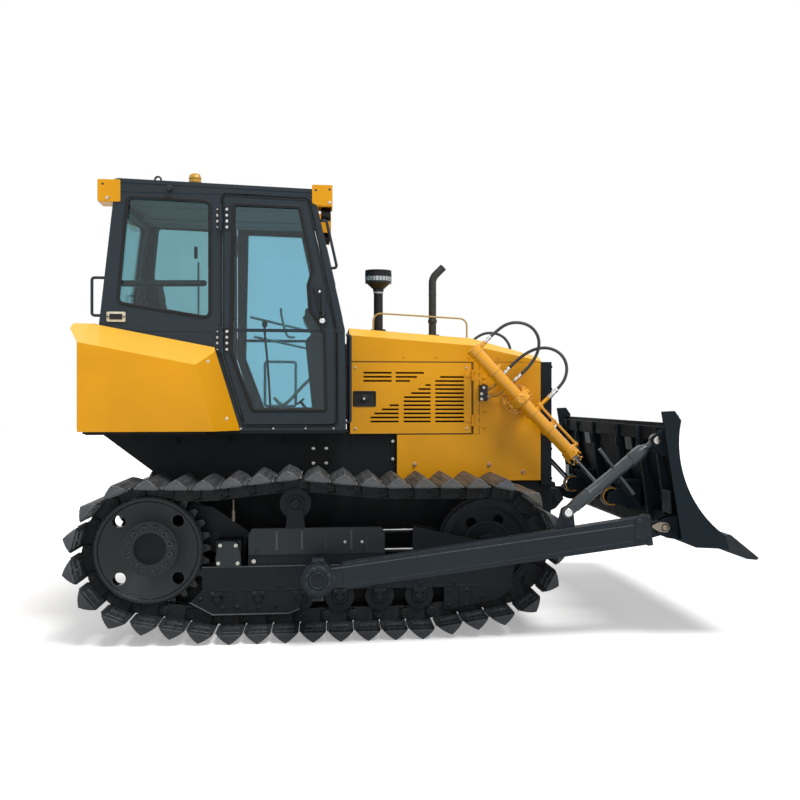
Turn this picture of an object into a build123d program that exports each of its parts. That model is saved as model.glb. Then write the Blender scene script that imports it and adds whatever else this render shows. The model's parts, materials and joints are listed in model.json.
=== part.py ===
from build123d import *
import math
import os

# A crawler bulldozer with wide swamp shoes, millimetres, +X to the blade, +Y to the left, +Z up.
# While it is built, X is 0 halfway between the sprocket and idler axles and Z is 0 at the
# tips of the shoes. The finished pieces are moved so that X is 0 at the middle of the machine.

# ---------------------------------------------------------------- fits and sheets
seat_gap = 0.3  # between pieces that rest on each other
pin_clearance = 0.05  # radial, a pin in its own bore
panel_gap = 6.0  # round doors and panels
sheet = 8.0  # hood and side panel sheet

# ---------------------------------------------------------------- door hinges
hinge_r = 11.0
hinge_pin_r = 5.0
hinge_strap = 60.0
strap_thick = 4.0

# ---------------------------------------------------------------- tracks
track_gauge = 2050.0
shoe_width = 900.0
axle_span = 2450.0  # sprocket axle to idler axle
nominal_pitch = 190.0
sprocket_z = 620.0
idler_z = 606.0
wheel_pin_r = 408.5  # link pins round the sprocket and round the idler
pin_to_plate = 48.0  # link pin to the inner face of the shoe plate
plate_thick = 14.0
shoe_height = 72.0  # inner face of the shoe plate to the tip of the shoe
rail_drop = 57.0  # link pin to the rail that the rollers run on
rail_in = 45.0  # rail faces, from the middle of the track
rail_out = 90.0
sprocket_teeth = 27
tooth_root_r = 378.0
tooth_tip_r = 430.0
tooth_thick = 56.0
hub_disc_r = 385.0
hub_disc_thick = 20.0
hub_r = 193.0
hub_hole_r = 44.0
hub_hole_ring_r = 290.0
roller_r = 82.0
roller_flange_r = 104.0
roller_count = 6
roller_from_axle = (484.0, 513.0)  # first and last roller, from the sprocket and the idler
roller_half_width = 108.0
carrier_x = -188.0
carrier_z = 940.0
carrier_r = 90.0
sag_r = 1500.0  # curve of the slack upper run
sag_rear_x = 365.0 - axle_span / 2  # where the slack run hangs lowest
sag_front_x = axle_span / 2 - 705
slack_z = 1022.0  # pin height of the slack upper run

# ---------------------------------------------------------------- track frames
frame_half_width = 130.0
frame_plate = 18.0
frame_z = (316.0, 497.0)
frame_core_z = 376.0  # underside of the box between the side plates
frame_x = (380.0 - axle_span / 2, axle_span / 2 + 193)
frame_core_x = (frame_x[0] + 80, axle_span / 2 - 385)
cover_x = (-524.0, axle_span / 2 - 765)
cover_z = (558.0, 764.0)
saddle_x = (-750.0, -574.0)
saddle_top_z = 682.0
roller_shaft_r = 30.0
recoil_rod_r = 13.0
recoil_rod_z = (603.0, 747.0)
crosshead_x = axle_span / 2 - 560
yoke_arm_z = (560.0, 652.0)
idler_shaft_r = 45.0
stay_thick = 24.0  # plate that ties the frame to the final drive

# ---------------------------------------------------------------- hull
hull_half_width = 480.0
hull_top_z = 1440.0
hull_bottom_z = 430.0
hull_rear_x = -1670.0
hull_rear_low_x = -axle_span / 2 - 65  # behind the final drives
hull_slope_z = 1148.0
hull_front_x = 588.0
rail_plate = 95.0
chassis_rail_z = (560.0, 1040.0)
chassis_front_x = 1740.0
belly_thick = 30.0
deck_thick = 24.0
deck_half_width = 1000.0
drawbar_hole_r = 28.0
final_drive_r = 235.0

# ---------------------------------------------------------------- engine house
panel_overhang = 50.0  # hull to the outside of the engine house
hood_half_width = hull_half_width + panel_overhang
hood_chamfer = 100.0
hood_top_half = hood_half_width - hood_chamfer
hood_x = (214.0, 1743.0)
hood_break_x = 1184.0
hood_top_z = (2262.0, 2190.0, 2042.0)  # at the rear, the break and the front
hood_edge_z = (2202.0, 2127.0, 2006.0)
door_top_z = 1994.0
door_bottom_z = 1425.0
door_x = (217.0, 1184.0)
engine_door_thick = 18.0
panel_bottom_z = 1050.0
guard_depth = 88.0
guard_z = (1008.0, 1999.0)
nose_x = hood_x[1] + guard_depth + 3
hood_rail_r = 7.0
louvre_height = 14.0
louvre_pitch = 32.0
louvre_top_z = 1907.0
engine_hinge_axis = (door_x[1] + panel_gap / 2, -hood_half_width - hinge_r)
engine_hinge_z = (1890.0, 1530.0)
engine_hinge_length = 90.0

# ---------------------------------------------------------------- cab
cab_half_width = 780.0
cab_wall = 60.0
cab_rear_x = -1634.0
cab_front_x = 184.0
cab_belt = (176.0, 2226.0)  # where the front pillar starts to lean back
cab_roof_front = (-57.0, 3262.0)
cab_roof_rear = (-1512.0, 3306.0)
cab_rear_belt_z = 2200.0
roof_thick = 30.0
roof_nose = 20.0  # how far the roof reaches past the top of the front pillar
door_leaf = 45.0
door_proud = 10.0
glass_thick = 8.0
hinge_axis = (-748.0, -cab_half_width - door_proud - hinge_r - 3)
hinge_z = (3055.0, 2142.0)
hinge_length = 190.0
grab_rail_r = 11.0
lamp_guard_width = 220.0
roof_eye_r = 16.0

# ---------------------------------------------------------------- fenders and tank
fender_x = (-1724.0, -605.0)
fender_half_width = (cab_half_width + 12, 1080.0)
fender_z = (hull_top_z + deck_thick + seat_gap, 2256.0)
fender_edge_z = 2106.0  # top of the side face at the rear
fender_lip_z = 2215.0  # where the overhanging rear lip is furthest back
tank_rear_x = -1806.0

# ---------------------------------------------------------------- blade and push frame
pivot = (-26.0, 469.0)  # trunnions of the push arms
arm_half_width = 60.0
arm_gap = 105.0  # ends of the shoes to the push arm
arm_y = (track_gauge + shoe_width) / 2 + arm_gap + arm_half_width
arm_height = (172.0, 198.0)
trunnion_r = 55.0
arm_eye_r = 114.0
blade_pin = (2413.0, 786.0)
brace_low = (1713.0, 903.0)
brace_high = (2356.0, 1406.0)
blade_overhang = 160.0  # middle of the push arm to the blade's end
blade_half_width = arm_y + blade_overhang
end_plate = 25.0
mould_top = (2470.0, 1527.0)
mould_mid = (2492.0, 1160.0)
mould_low = (2795.0, 745.0)
mould_thick = 16.0
top_beam_x = 2410.0
foot_high = (2820.0, 735.0)  # where the cutting edge meets the blade
foot_low = (2850.0, 640.0)
edge_tip_x = 3067.0
lift_y = hood_half_width + 170  # clear of the hood and of the block on it
blade_pin_r = 34.0
brace_pin_r = 24.0
brace_eye_r = 44.0
fork_gap = 18.0  # middle of the push arm to the inner face of the brace's fork
rod_eye = (2272.0, 930.0)
eye_pin_r = 26.0
eye_play = 38.0  # the rod's eye drifts this far from its pin as the blade moves
eye_wall = 16.0
eye_half_width = 34.0

# ---------------------------------------------------------------- lift cylinders
lift_trunnion = (1540.0, 1700.0)
barrel_r = 50.0
barrel_bore_r = 40.0
barrel_behind = 539.0  # trunnion to the closed end
barrel_ahead = 612.0  # trunnion to the gland
gland_r = 62.0
gland_length = 60.0
rod_r = 22.0
piston_back = 125.0  # piston behind the trunnion when the machine is parked
ring_r = 72.0
ring_length = 76.0
lift_flange_r = 120.0
lift_pin_r = 32.0
port_back = 515.0  # hose port behind the trunnion, near the closed end
port_reach = 105.0
tee_at = 148.0  # tee on the return pipe, ahead of the trunnion
return_offset = 82.0
hose_diameter = 25.0


# ================================================================ helpers
def block(x, y, z):
    """A box from three (low, high) pairs."""
    size = [high - low for low, high in (x, y, z)]
    centre = [(low + high) / 2 for low, high in (x, y, z)]
    return Pos(*centre) * Box(*size)


def prism(points, y):
    """An outline in X and Z, filled from y[0] to y[1]."""
    edge = Polyline(*[(px, y[0], pz) for px, pz in points], close=True)
    return extrude(make_face(edge), amount=y[1] - y[0], dir=(0, 1, 0))


def disc(centre, radius, y):
    """A cylinder along Y round an (x, z) point."""
    middle = Pos(centre[0], (y[0] + y[1]) / 2, centre[1])
    return middle * Rot(90, 0, 0) * Cylinder(radius, y[1] - y[0])


def rod(start, end, radius):
    """A cylinder from one 3-D point to another."""
    a, b = Vector(*start), Vector(*end)
    return Plane(origin=(a + b) / 2, z_dir=b - a) * Cylinder(radius, (b - a).length)


def joined(pieces):
    pieces = list(pieces)
    return pieces[0].fuse(*pieces[1:]) if len(pieces) > 1 else pieces[0]


def both_sides(piece):
    """The piece on the right side of the machine and its mirror on the left."""
    return Part() + [piece, mirror(piece, about=Plane.XZ)]


def left_of(piece):
    return mirror(piece, about=Plane.XZ)


def cut_off(piece, point, outward):
    """The piece without what lies beyond a plane."""
    return split(piece, bisect_by=Plane(origin=point, z_dir=outward), keep=Keep.BOTTOM)


def rounded_outline(points, radius):
    wire = FilletPolyline(*[(px, 0, pz) for px, pz in points], radius=radius, close=True)
    return make_face(wire)


def tube(points, radius, bend):
    """A round bar or pipe through points, bent at each corner."""
    line = FilletPolyline(*points, radius=bend)
    return sweep(Plane(origin=line @ 0, z_dir=line % 0) * Circle(radius), path=line)


def through_wall(points, radius, y):
    """A window's outline with round corners, filled from y[0] to y[1]."""
    face = Pos(0, y[0], 0) * rounded_outline(points, radius)
    return extrude(face, amount=y[1] - y[0], dir=(0, 1, 0))


def hinge_leaf(axis, z, length, wall_y, toward):
    """A hinge barrel and the strap that reaches from it along a wall, to one side in X."""
    barrel = Pos(axis[0], axis[1], z) * Cylinder(hinge_r, length)
    x = sorted((axis[0], axis[0] + toward * hinge_strap))
    strap = block(x, (wall_y - strap_thick, wall_y + 1), (z - length / 2, z + length / 2))
    reach = sorted((axis[0], axis[0] + toward * hinge_r * 1.5))
    web = block(reach, (axis[1], wall_y), (z - length / 2, z + length / 2))
    return joined([barrel, strap, web])


def fixed_hinge(axis, z, length, wall_y, toward):
    """The fixed half: the upper and lower thirds of the barrel, and the pin."""
    third = length / 3
    pin = Pos(axis[0], axis[1], z) * Cylinder(hinge_pin_r, length - 2)
    ends = [hinge_leaf(axis, z + side * third, third - 1, wall_y, toward) for side in (-1, 1)]
    return joined([pin] + ends)


def swinging_hinge(axis, z, length, wall_y, toward):
    """The door's half: the middle third, bored for the pin."""
    leaf = hinge_leaf(axis, z, length / 3 - 1, wall_y, toward)
    return leaf - Pos(axis[0], axis[1], z) * Cylinder(hinge_pin_r + pin_clearance, length)


# ================================================================ tracks
sprocket = (-axle_span / 2, sprocket_z)
idler = (axle_span / 2, idler_z)
pin_to_tip = pin_to_plate + shoe_height
roller_z = pin_to_tip + rail_drop + roller_r
roller_first_x = roller_from_axle[0] - axle_span / 2
roller_pitch_x = (axle_span - sum(roller_from_axle)) / (roller_count - 1)
roller_x = [roller_first_x + i * roller_pitch_x for i in range(roller_count)]
roller_pin_r = roller_r + rail_drop
carrier_pin_r = carrier_r + rail_drop

# The chain's pin line, clockwise from the sprocket: x, z, radius, +1 round it or -1 sagging over it.
chain_guides = [
    (sprocket[0], sprocket[1], wheel_pin_r, 1),
    (sag_rear_x, slack_z + sag_r, sag_r, -1),
    (carrier_x, carrier_z, carrier_pin_r, 1),
    (sag_front_x, slack_z + sag_r, sag_r, -1),
    (idler[0], idler[1], wheel_pin_r, 1),
    (roller_x[-1], roller_z, roller_pin_r, 1),
    (roller_x[0], roller_z, roller_pin_r, 1),
]


def headings(guides):
    """Direction, in radians, of the straight run that leaves each guide."""
    result = []
    for i, (x1, z1, r1, side1) in enumerate(guides):
        x2, z2, r2, side2 = guides[(i + 1) % len(guides)]
        span = math.hypot(x2 - x1, z2 - z1)
        slant = math.asin((side1 * r1 - side2 * r2) / span)
        result.append(math.atan2(z2 - z1, x2 - x1) - slant)
    return result


def on_guide(guide, heading, outward):
    """The point beside a guide where the chain has that heading."""
    x, z, r, side = guide
    reach = side * r + outward
    return (x - reach * math.sin(heading), z + reach * math.cos(heading))


def chain_runs(outward=0.0):
    """The chain's loop as (guide, heading in, heading out, end of the straight run)."""
    leave = headings(chain_guides)
    runs = []
    for i, guide in enumerate(chain_guides):
        into, out = leave[i - 1], leave[i]
        turn = (out - into + math.pi) % (2 * math.pi) - math.pi
        if guide[3] > 0 and turn > 0:
            turn -= 2 * math.pi
        following = chain_guides[(i + 1) % len(chain_guides)]
        runs.append((guide, into, into + turn, on_guide(following, out, outward)))
    return runs


def chain_face(outward):
    """The area inside the chain's loop, moved outward."""
    edges = []
    for guide, into, out, end in chain_runs(outward):
        first, middle, last = (
            on_guide(guide, heading, outward) for heading in (into, (into + out) / 2, out)
        )
        edges.append(ThreePointArc(*[(px, 0, pz) for px, pz in (first, middle, last)]))
        edges.append(Line((last[0], 0, last[1]), (end[0], 0, end[1])))
    return make_face(Wire(edges))


def chain_places():
    """Place and heading of each shoe, evenly spaced round the loop."""
    spans = []
    for guide, into, out, end in chain_runs():
        spans.append(("turn", guide, into, out, guide[2] * abs(out - into)))
        last = on_guide(guide, out, 0)
        spans.append(("straight", last, end, out, math.dist(last, end)))
    total = sum(span[-1] for span in spans)
    count = round(total / nominal_pitch)
    places = []
    for k in range(count):
        along = (k + 0.5) * total / count
        for kind, a, b, c, length in spans:
            if along <= length:
                break
            along -= length
        share = along / length
        if kind == "turn":
            heading = b + (c - b) * share
            places.append((on_guide(a, heading, 0), heading))
        else:
            place = (a[0] + (b[0] - a[0]) * share, a[1] + (b[1] - a[1]) * share)
            places.append((place, c))
    return places, total / count


# One shoe's outline: share of half a pitch along the chain, distance outward from the pins.
shoe_outline = [
    (-0.97, pin_to_plate + plate_thick),
    (-0.80, pin_to_plate + 0.45 * shoe_height),
    (-0.22, pin_to_tip - 4),
    (0.0, pin_to_tip),
    (0.22, pin_to_tip - 4),
    (0.80, pin_to_plate + 0.45 * shoe_height),
    (0.97, pin_to_plate + plate_thick),
]


def track():
    """The right track: shoes, and the two link rails that carry them, as one loop."""
    places, pitch = chain_places()
    outline = []
    for (px, pz), heading in places:
        ahead = (math.cos(heading), math.sin(heading))
        outward = (-math.sin(heading), math.cos(heading))
        for share, reach in shoe_outline:
            step = share * pitch / 2
            outline.append(
                (px + step * ahead[0] + reach * outward[0], pz + step * ahead[1] + reach * outward[1])
            )
    y = (-(track_gauge + shoe_width) / 2, -(track_gauge - shoe_width) / 2)
    lap = 2.0
    inside = extrude(Pos(0, y[0], 0) * chain_face(pin_to_plate), amount=shoe_width, dir=(0, 1, 0))
    shoes = prism(outline, y) - inside
    ring = chain_face(pin_to_plate + lap) - chain_face(-rail_drop)
    rails = [
        extrude(Pos(0, middle, 0) * ring, amount=rail_out - rail_in, dir=(0, 1, 0))
        for middle in (-track_gauge / 2 - rail_out, -track_gauge / 2 + rail_in)
    ]
    return joined([shoes] + rails)


# One tooth's outline: share of the tooth spacing, radius.
tooth_outline = [(-0.36, tooth_root_r), (-0.14, tooth_tip_r), (0.14, tooth_tip_r), (0.36, tooth_root_r)]


def sprocket_wheel():
    """A toothed ring between the rails, and the hub disc that shows outside them."""
    y = -track_gauge / 2
    step = 2 * math.pi / sprocket_teeth
    outline = []
    for i in range(sprocket_teeth):
        for share, radius in tooth_outline:
            angle = (i + share) * step
            outline.append(
                (sprocket[0] + radius * math.cos(angle), sprocket[1] + radius * math.sin(angle))
            )
    ring = prism(outline, (y - tooth_thick / 2, y + tooth_thick / 2))
    face_y = y - rail_out - 5
    plate = disc(sprocket, hub_disc_r, (face_y - hub_disc_thick, face_y))
    hub = disc(sprocket, hub_r, (face_y - hub_disc_thick - 6, y))
    recess = disc(sprocket, hub_r - 22, (face_y - hub_disc_thick - 7, face_y - hub_disc_thick + 8))
    boss = disc(sprocket, 120, (face_y - hub_disc_thick - 2, face_y))
    wheel = joined([ring, plate, hub]) - recess + boss
    for quarter in range(4):
        angle = math.radians(45 + 90 * quarter)
        centre = (
            sprocket[0] + hub_hole_ring_r * math.cos(angle),
            sprocket[1] + hub_hole_ring_r * math.sin(angle),
        )
        wheel -= disc(centre, hub_hole_r, (face_y - 60, y + 60))
    return wheel


def idler_wheel():
    """A rim with a guide flange between the rails, a thinner web with holes, and a hub."""
    y = -track_gauge / 2
    tread_r = wheel_pin_r - rail_drop - seat_gap
    rim = disc(idler, tread_r, (y - rail_out, y + rail_out)) + disc(
        idler, tread_r + 22, (y - rail_in + 5, y + rail_in - 5)
    )
    web_r = tread_r - 42
    for side in (-1, 1):
        outer = sorted((y + side * 24, y + side * (rail_out + 1)))
        rim -= disc(idler, web_r, outer)
    hub = disc(idler, 92, (y - rail_out - 8, y + rail_out + 8))
    wheel = rim + hub
    for i in range(6):
        angle = math.radians(5 + 60 * i)
        centre = (idler[0] + 205 * math.cos(angle), idler[1] + 205 * math.sin(angle))
        wheel -= disc(centre, 40, (y - rail_out, y + rail_out))
    return wheel


def track_rollers():
    """Six rollers under the frame and one above it, on the right side."""
    y = -track_gauge / 2
    pieces = []
    places = [(x, roller_z, roller_r) for x in roller_x] + [(carrier_x, carrier_z, carrier_r)]
    for x, z, radius in places:
        flange = radius + roller_flange_r - roller_r
        body = disc((x, z), radius - seat_gap, (y - roller_half_width, y + roller_half_width))
        for side in (-1, 1):
            span = sorted((y + side * (rail_out + 3), y + side * roller_half_width))
            body += disc((x, z), flange, span)
        body += disc((x, z), roller_shaft_r, (y - frame_half_width - 4, y + frame_half_width + 4))
        pieces.append(body)
    return pieces


def track_frame():
    """A box beam with forked ends, roller collars, guards, recoil housing and idler yoke."""
    y = -track_gauge / 2
    inner = frame_half_width - frame_plate
    core = block(frame_core_x, (y - inner, y + inner), (frame_core_z, frame_z[1]))
    guard_rear = [(-935, 240), (-771, 148), (-233, 146), (-155, 180), (-155, 330), (-845, 330)]
    guard_front = [(894, 330), (894, 150), (960, 150), (1300, 215), (1414, 300), (1404, 330)]
    side = [
        (frame_x[0], frame_z[0]), (frame_x[1] - 16, frame_z[0]),
        (frame_x[1], frame_z[1] - 18), (frame_x[1] - 6, frame_z[1]), (frame_x[0], frame_z[1]),
    ]
    pieces = [core]
    for sign in (-1, 1):
        span = sorted((y + sign * inner, y + sign * frame_half_width))
        for outline in (side, guard_rear, guard_front):
            pieces.append(prism(outline, span))
        for x in roller_x:
            pieces.append(block((x - 42, x + 42), span, (roller_z - 40, frame_z[0] + 1)))
        arm = [
            (crosshead_x, recoil_rod_z[0] - 20), (idler[0] - 60, yoke_arm_z[0]),
            (idler[0] + 62, yoke_arm_z[0] - 10), (idler[0] + 62, yoke_arm_z[1] + 10),
            (idler[0] - 60, yoke_arm_z[1]), (crosshead_x, recoil_rod_z[1] + 18),
        ]
        pieces.append(prism(arm, span))
        pieces.append(
            block((idler[0] - 85, idler[0] + 85), span, (frame_z[1] - 1, yoke_arm_z[0] + 5))
        )
    pieces.append(
        block((crosshead_x, crosshead_x + 24), (y - inner - 1, y + inner + 1),
              (recoil_rod_z[0] - 20, recoil_rod_z[1] + 18))
    )
    cover = [
        (cover_x[0], frame_z[1] - 1), (cover_x[1], frame_z[1] - 1), (cover_x[1], cover_z[1] - 40),
        (cover_x[1] - 30, cover_z[1]), (cover_x[0] + 30, cover_z[1]), (cover_x[0], cover_z[1] - 40),
    ]
    pieces.append(prism(cover, (y - 96, y + 96)))
    pieces.append(
        block(cover_x, (y - inner, y + inner), (frame_z[1] - 1, cover_z[0]))
    )
    pieces.append(block(saddle_x, (y - inner, y + inner), (frame_z[1] - 1, saddle_top_z)))
    for z in recoil_rod_z:
        for rod_y in (y - 70, y + 70):
            start, end = (cover_x[1] - 1, rod_y, z - 20), (crosshead_x + 1, rod_y, z - 20)
            pieces.append(rod(start, end, recoil_rod_r))
    pedestal = [
        (carrier_x - 70, cover_z[1] - 1), (carrier_x + 70, cover_z[1] - 1),
        (carrier_x + 42, carrier_z + 46), (carrier_x - 42, carrier_z + 46),
    ]
    for sign in (-1, 1):
        span = sorted((y + sign * inner, y + sign * frame_half_width))
        pieces.append(prism(pedestal, span))
    pieces.append(
        block((carrier_x - 70, carrier_x + 70), (y - inner - 1, y + inner + 1),
              (cover_z[1] - 1, cover_z[1] + 24))
    )
    stay = [(-598, 640), (-560, 690), (-930, 965), (-968, 925)]
    stay_y = (y + frame_half_width - 1, y + frame_half_width + stay_thick)
    pieces.append(prism(stay, stay_y))
    pieces.append(block((-640, -560), (y + inner - 1, stay_y[1]), (frame_z[1] - 1, 690)))
    frame = joined(pieces)
    for x in roller_x:
        frame -= disc((x, roller_z), roller_shaft_r + seat_gap, (y - 200, y + 200))
    frame -= disc((carrier_x, carrier_z), roller_shaft_r + seat_gap, (y - 200, y + 200))
    frame -= disc(idler, idler_shaft_r + seat_gap, (y - 200, y + 200))
    boss = disc(pivot, 92, (-arm_y + arm_half_width + 12, y - inner))
    pin = disc(pivot, trunnion_r, (-arm_y - arm_half_width - 16, -arm_y + arm_half_width + 13))
    return joined([frame, boss, pin])


def idler_shaft():
    y = -track_gauge / 2
    reach = frame_half_width + 10
    return disc(idler, idler_shaft_r, (y - reach, y + reach))


def final_drive():
    """The housing between the hull and the sprocket's toothed ring."""
    y = -track_gauge / 2
    far = y + tooth_thick / 2 + seat_gap
    drum = disc(sprocket, final_drive_r, (far, -hull_half_width - 90))
    flange = disc(sprocket, final_drive_r + 70, (-hull_half_width - 92, -hull_half_width - seat_gap))
    return drum + flange


# ================================================================ hull
def hull():
    outline = [
        (hull_rear_x, hull_top_z), (hull_rear_low_x, hull_slope_z), (hull_rear_low_x, 560),
        (hull_rear_low_x + 140, hull_bottom_z), (hull_front_x, hull_bottom_z),
        (hull_front_x, hull_top_z),
    ]
    body = prism(outline, (-hull_half_width, hull_half_width))
    rails = [
        block((hull_front_x - 1, chassis_front_x),
              sorted((side * hull_half_width, side * (hull_half_width - rail_plate))), chassis_rail_z)
        for side in (-1, 1)
    ]
    belly = block((hull_front_x - 1, chassis_front_x), (-hull_half_width, hull_half_width),
                  (chassis_rail_z[0] - belly_thick, chassis_rail_z[0] + 1))
    nose = block((chassis_front_x - 1, nose_x), (-hull_half_width, hull_half_width),
                 (chassis_rail_z[0] - belly_thick, guard_z[0] - seat_gap))
    beam_y = track_gauge / 2 - frame_half_width - seat_gap
    beam = block((90, 330), (-beam_y, beam_y), (frame_z[0] + 14, frame_z[1] - 8))
    saddle = block((60, 360), (-220, 220), (frame_z[1] - 9, hull_bottom_z + 150))
    tube_y = beam_y - stay_thick
    pivot_tube = disc((-660, 560), 70, (-tube_y, tube_y))
    return joined([body, belly, nose, beam, saddle, pivot_tube] + rails)


def engine_block():
    half = hull_half_width - rail_plate - 20
    body = block((340, 1500), (-half, half), (chassis_rail_z[0] + 40, 1760))
    body -= block((300, hull_front_x + 10), (-500, 500), (500, hull_top_z + 12))
    feet = [
        block((x, x + 110), sorted((side * (half - 1), side * (hull_half_width - 6))),
              (chassis_rail_z[1] + seat_gap, chassis_rail_z[1] + 60))
        for x in (720, 1340) for side in (-1, 1)
    ]
    return joined([body] + feet)


def deck():
    """The floor plate that the cab, fenders and tank stand on."""
    top = hull_top_z + deck_thick
    middle_x = (tank_rear_x + 60, cab_front_x)
    middle = block(middle_x, (-cab_half_width, cab_half_width), (hull_top_z, top))
    wing_x = (fender_x[0] + 40, -830)
    wings = block(wing_x, (-deck_half_width, deck_half_width), (hull_top_z, top))
    return middle + wings


def drawbar():
    x = hull_rear_low_x - seat_gap
    plate = block((x - 40, x), (-190, 190), (560, 800))
    tongue = [block((x - 250, x - 39), (-90, 90), span) for span in ((590, 630), (710, 750))]
    body = joined([plate] + tongue)
    hole = Pos(x - 180, 0, 670) * Cylinder(drawbar_hole_r, 240)
    return body - hole


def tow_hook():
    """The pull hook on the nose: two cheeks and a pin."""
    x = nose_x + seat_gap
    plate = block((x, x + 30), (-170, 170), (700, 960))
    cheek_outline = [(x + 29, 960), (x + 29, 740), (x + 120, 780), (x + 190, 860), (x + 150, 940)]
    cheeks = [prism(cheek_outline, span) for span in ((-90, -58), (58, 90))]
    pin = disc((x + 125, 868), 24, (-110, 110))
    return joined([plate, pin] + cheeks)


# ================================================================ engine house
def hood_section(x, top, edge, low, inset=0.0):
    half, flat = hood_half_width - inset, hood_top_half - inset * 0.5
    points = [(-half, low), (-half, edge - inset * 0.5), (-flat, top - inset), (flat, top - inset),
              (half, edge - inset * 0.5), (half, low)]
    return make_face(Polyline(*[(x, py, pz) for py, pz in points], close=True))


def hood():
    """The top cover: flat in the middle, chamfered along both edges, stepping down to the front."""
    stations = (hood_x[0], hood_break_x, hood_x[1])
    low = door_top_z + panel_gap / 2
    outer = [hood_section(x, t, e, low) for x, t, e in zip(stations, hood_top_z, hood_edge_z)]
    void_stations = (hood_x[0], hood_break_x, hood_x[1] - sheet)
    inner = [
        hood_section(x, t, e, low - 20, sheet)
        for x, t, e in zip(void_stations, hood_top_z, hood_edge_z)
    ]
    shell = loft(outer[:2], ruled=True).fuse(loft(outer[1:], ruled=True))
    void = loft(inner[:2], ruled=True).fuse(loft(inner[1:], ruled=True))
    return shell - void


def hood_height(x):
    """Height of the hood's flat top at x."""
    stations = (hood_x[0], hood_break_x, hood_x[1])
    i = 0 if x < hood_break_x else 1
    share = (x - stations[i]) / (stations[i + 1] - stations[i])
    return hood_top_z[i] + share * (hood_top_z[i + 1] - hood_top_z[i])


def bulkhead():
    half = hood_half_width - engine_door_thick - 4
    x, low = hood_x[0] + 2, door_top_z + panel_gap / 2
    plate = block((x, x + 12), (-half, half), (hull_top_z + seat_gap, low + 1))
    section = hood_section(x, hood_top_z[0] - 1, hood_edge_z[0] - 1, low, sheet + seat_gap)
    cap = extrude(section, amount=12, dir=(1, 0, 0))
    foot = block((x, hull_front_x - 2), (-hull_half_width, hull_half_width),
                 (hull_top_z + seat_gap, hull_top_z + 10))
    return joined([plate, cap, foot])


def side_panel():
    """The fixed yellow plate beside and below the engine door, on the right."""
    y = (-hood_half_width, -hood_half_width + sheet)
    outline = [
        (hull_front_x, panel_bottom_z), (hood_x[1], panel_bottom_z), (hood_x[1], door_top_z),
        (door_x[1] + panel_gap, door_top_z), (door_x[1] + panel_gap, door_bottom_z - panel_gap),
        (hull_front_x, door_bottom_z - panel_gap),
    ]
    plate = prism(outline, y)
    returns = [
        block((hull_front_x + 2, hull_front_x + 12), (y[0] + 1, -hull_half_width + 40),
              (chassis_rail_z[1] + seat_gap, door_bottom_z - 30)),
        block((hood_x[1] - 12, hood_x[1] - 2), (y[0] + 1, -hull_half_width + 20),
              (panel_bottom_z + 10, door_top_z - 20)),
    ]
    hinges = [
        fixed_hinge(engine_hinge_axis, z, engine_hinge_length, y[0], 1) for z in engine_hinge_z
    ]
    return joined([plate] + returns + hinges)


# Louvres in the engine door: x of the slot's two ends, and its row below the top one.
louvres = [
    (325, 545, 0), (325, 545, 1), (325, 545, 2),
    (577, 800, 0), (577, 745, 1), (577, 690, 2), (930, 1120, 1),
    (530, 602, 8), (470, 602, 9), (411, 602, 10), (380, 602, 11), (380, 602, 12),
]
louvres += [(890, 1120, row) for row in range(2, 13)]
louvres += [(max(812 - 56 * (row - 3), 640), 855, row) for row in range(3, 13)]


def engine_door():
    """The louvred door on the right side of the engine, hung at its front edge."""
    y = (-hood_half_width, -hood_half_width + engine_door_thick)
    leaf = block(door_x, y, (door_bottom_z, door_top_z))
    for start, end, row in louvres:
        z = louvre_top_z - row * louvre_pitch
        leaf -= block((start, end), (y[0] - 5, y[1] + 5), (z - louvre_height / 2, z + louvre_height / 2))
    leaf -= block((244, 421), (y[0] - 5, y[0] + 12), (1642, 1762))
    hinges = [
        swinging_hinge(engine_hinge_axis, z, engine_hinge_length, y[0], -1) for z in engine_hinge_z
    ]
    return joined([leaf] + hinges)


def radiator_guard():
    """The black nose frame with horizontal bars."""
    x = (hood_x[1] + seat_gap, hood_x[1] + guard_depth)
    half = hood_half_width - 6
    frame = block(x, (-half, half), guard_z)
    frame -= block((x[0] + 30, x[1] + 1), (-half + 60, half - 60), (guard_z[0] + 120, guard_z[1] - 60))
    bars = [
        block((x[0] + 29, x[1] - 12), (-half + 59, half - 59), (z, z + 24))
        for z in range(int(guard_z[0]) + 180, int(guard_z[1]) - 90, 75)
    ]
    return joined([frame] + bars)


def hood_rail():
    """A thin guard rail along the right half of the hood."""
    y = -350.0
    rear, front = 410.0, 1165.0
    lift = hood_rail_r * 0.2
    points = [
        (rear, hood_height(rear) + lift), (rear, 2390), (front, 2350), (front, hood_height(front) + lift),
    ]
    return tube([(px, y, pz) for px, pz in points], hood_rail_r, 60)


def pre_cleaner():
    x, y, foot_r = 455.0, -250.0, 60.0
    base = hood_height(x - foot_r) + seat_gap
    return joined([
        Pos(x, y, (base + 2600) / 2) * Cylinder(37, 2600 - base),
        Pos(x, y, base + 8) * Cylinder(foot_r, 16),
        Pos(x, y, 2620) * Cone(50, 104, 50),
        Pos(x, y, 2690) * Cylinder(104, 92),
    ])


def exhaust_pipe():
    x, y, foot_r = 905.0, -150.0, 56.0
    base = hood_height(x - foot_r) + seat_gap
    line = FilletPolyline((x, y, base), (x, y, 2700), (x + 90, y, 2790), radius=100)
    pipe = sweep(Plane(origin=line @ 0, z_dir=line % 0) * Circle(31), path=line)
    bore = sweep(Plane(origin=line @ 0, z_dir=line % 0) * Circle(26), path=line)
    collar = Pos(x, y, base + 8) * Cylinder(foot_r, 16)
    return pipe + collar - bore


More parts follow.
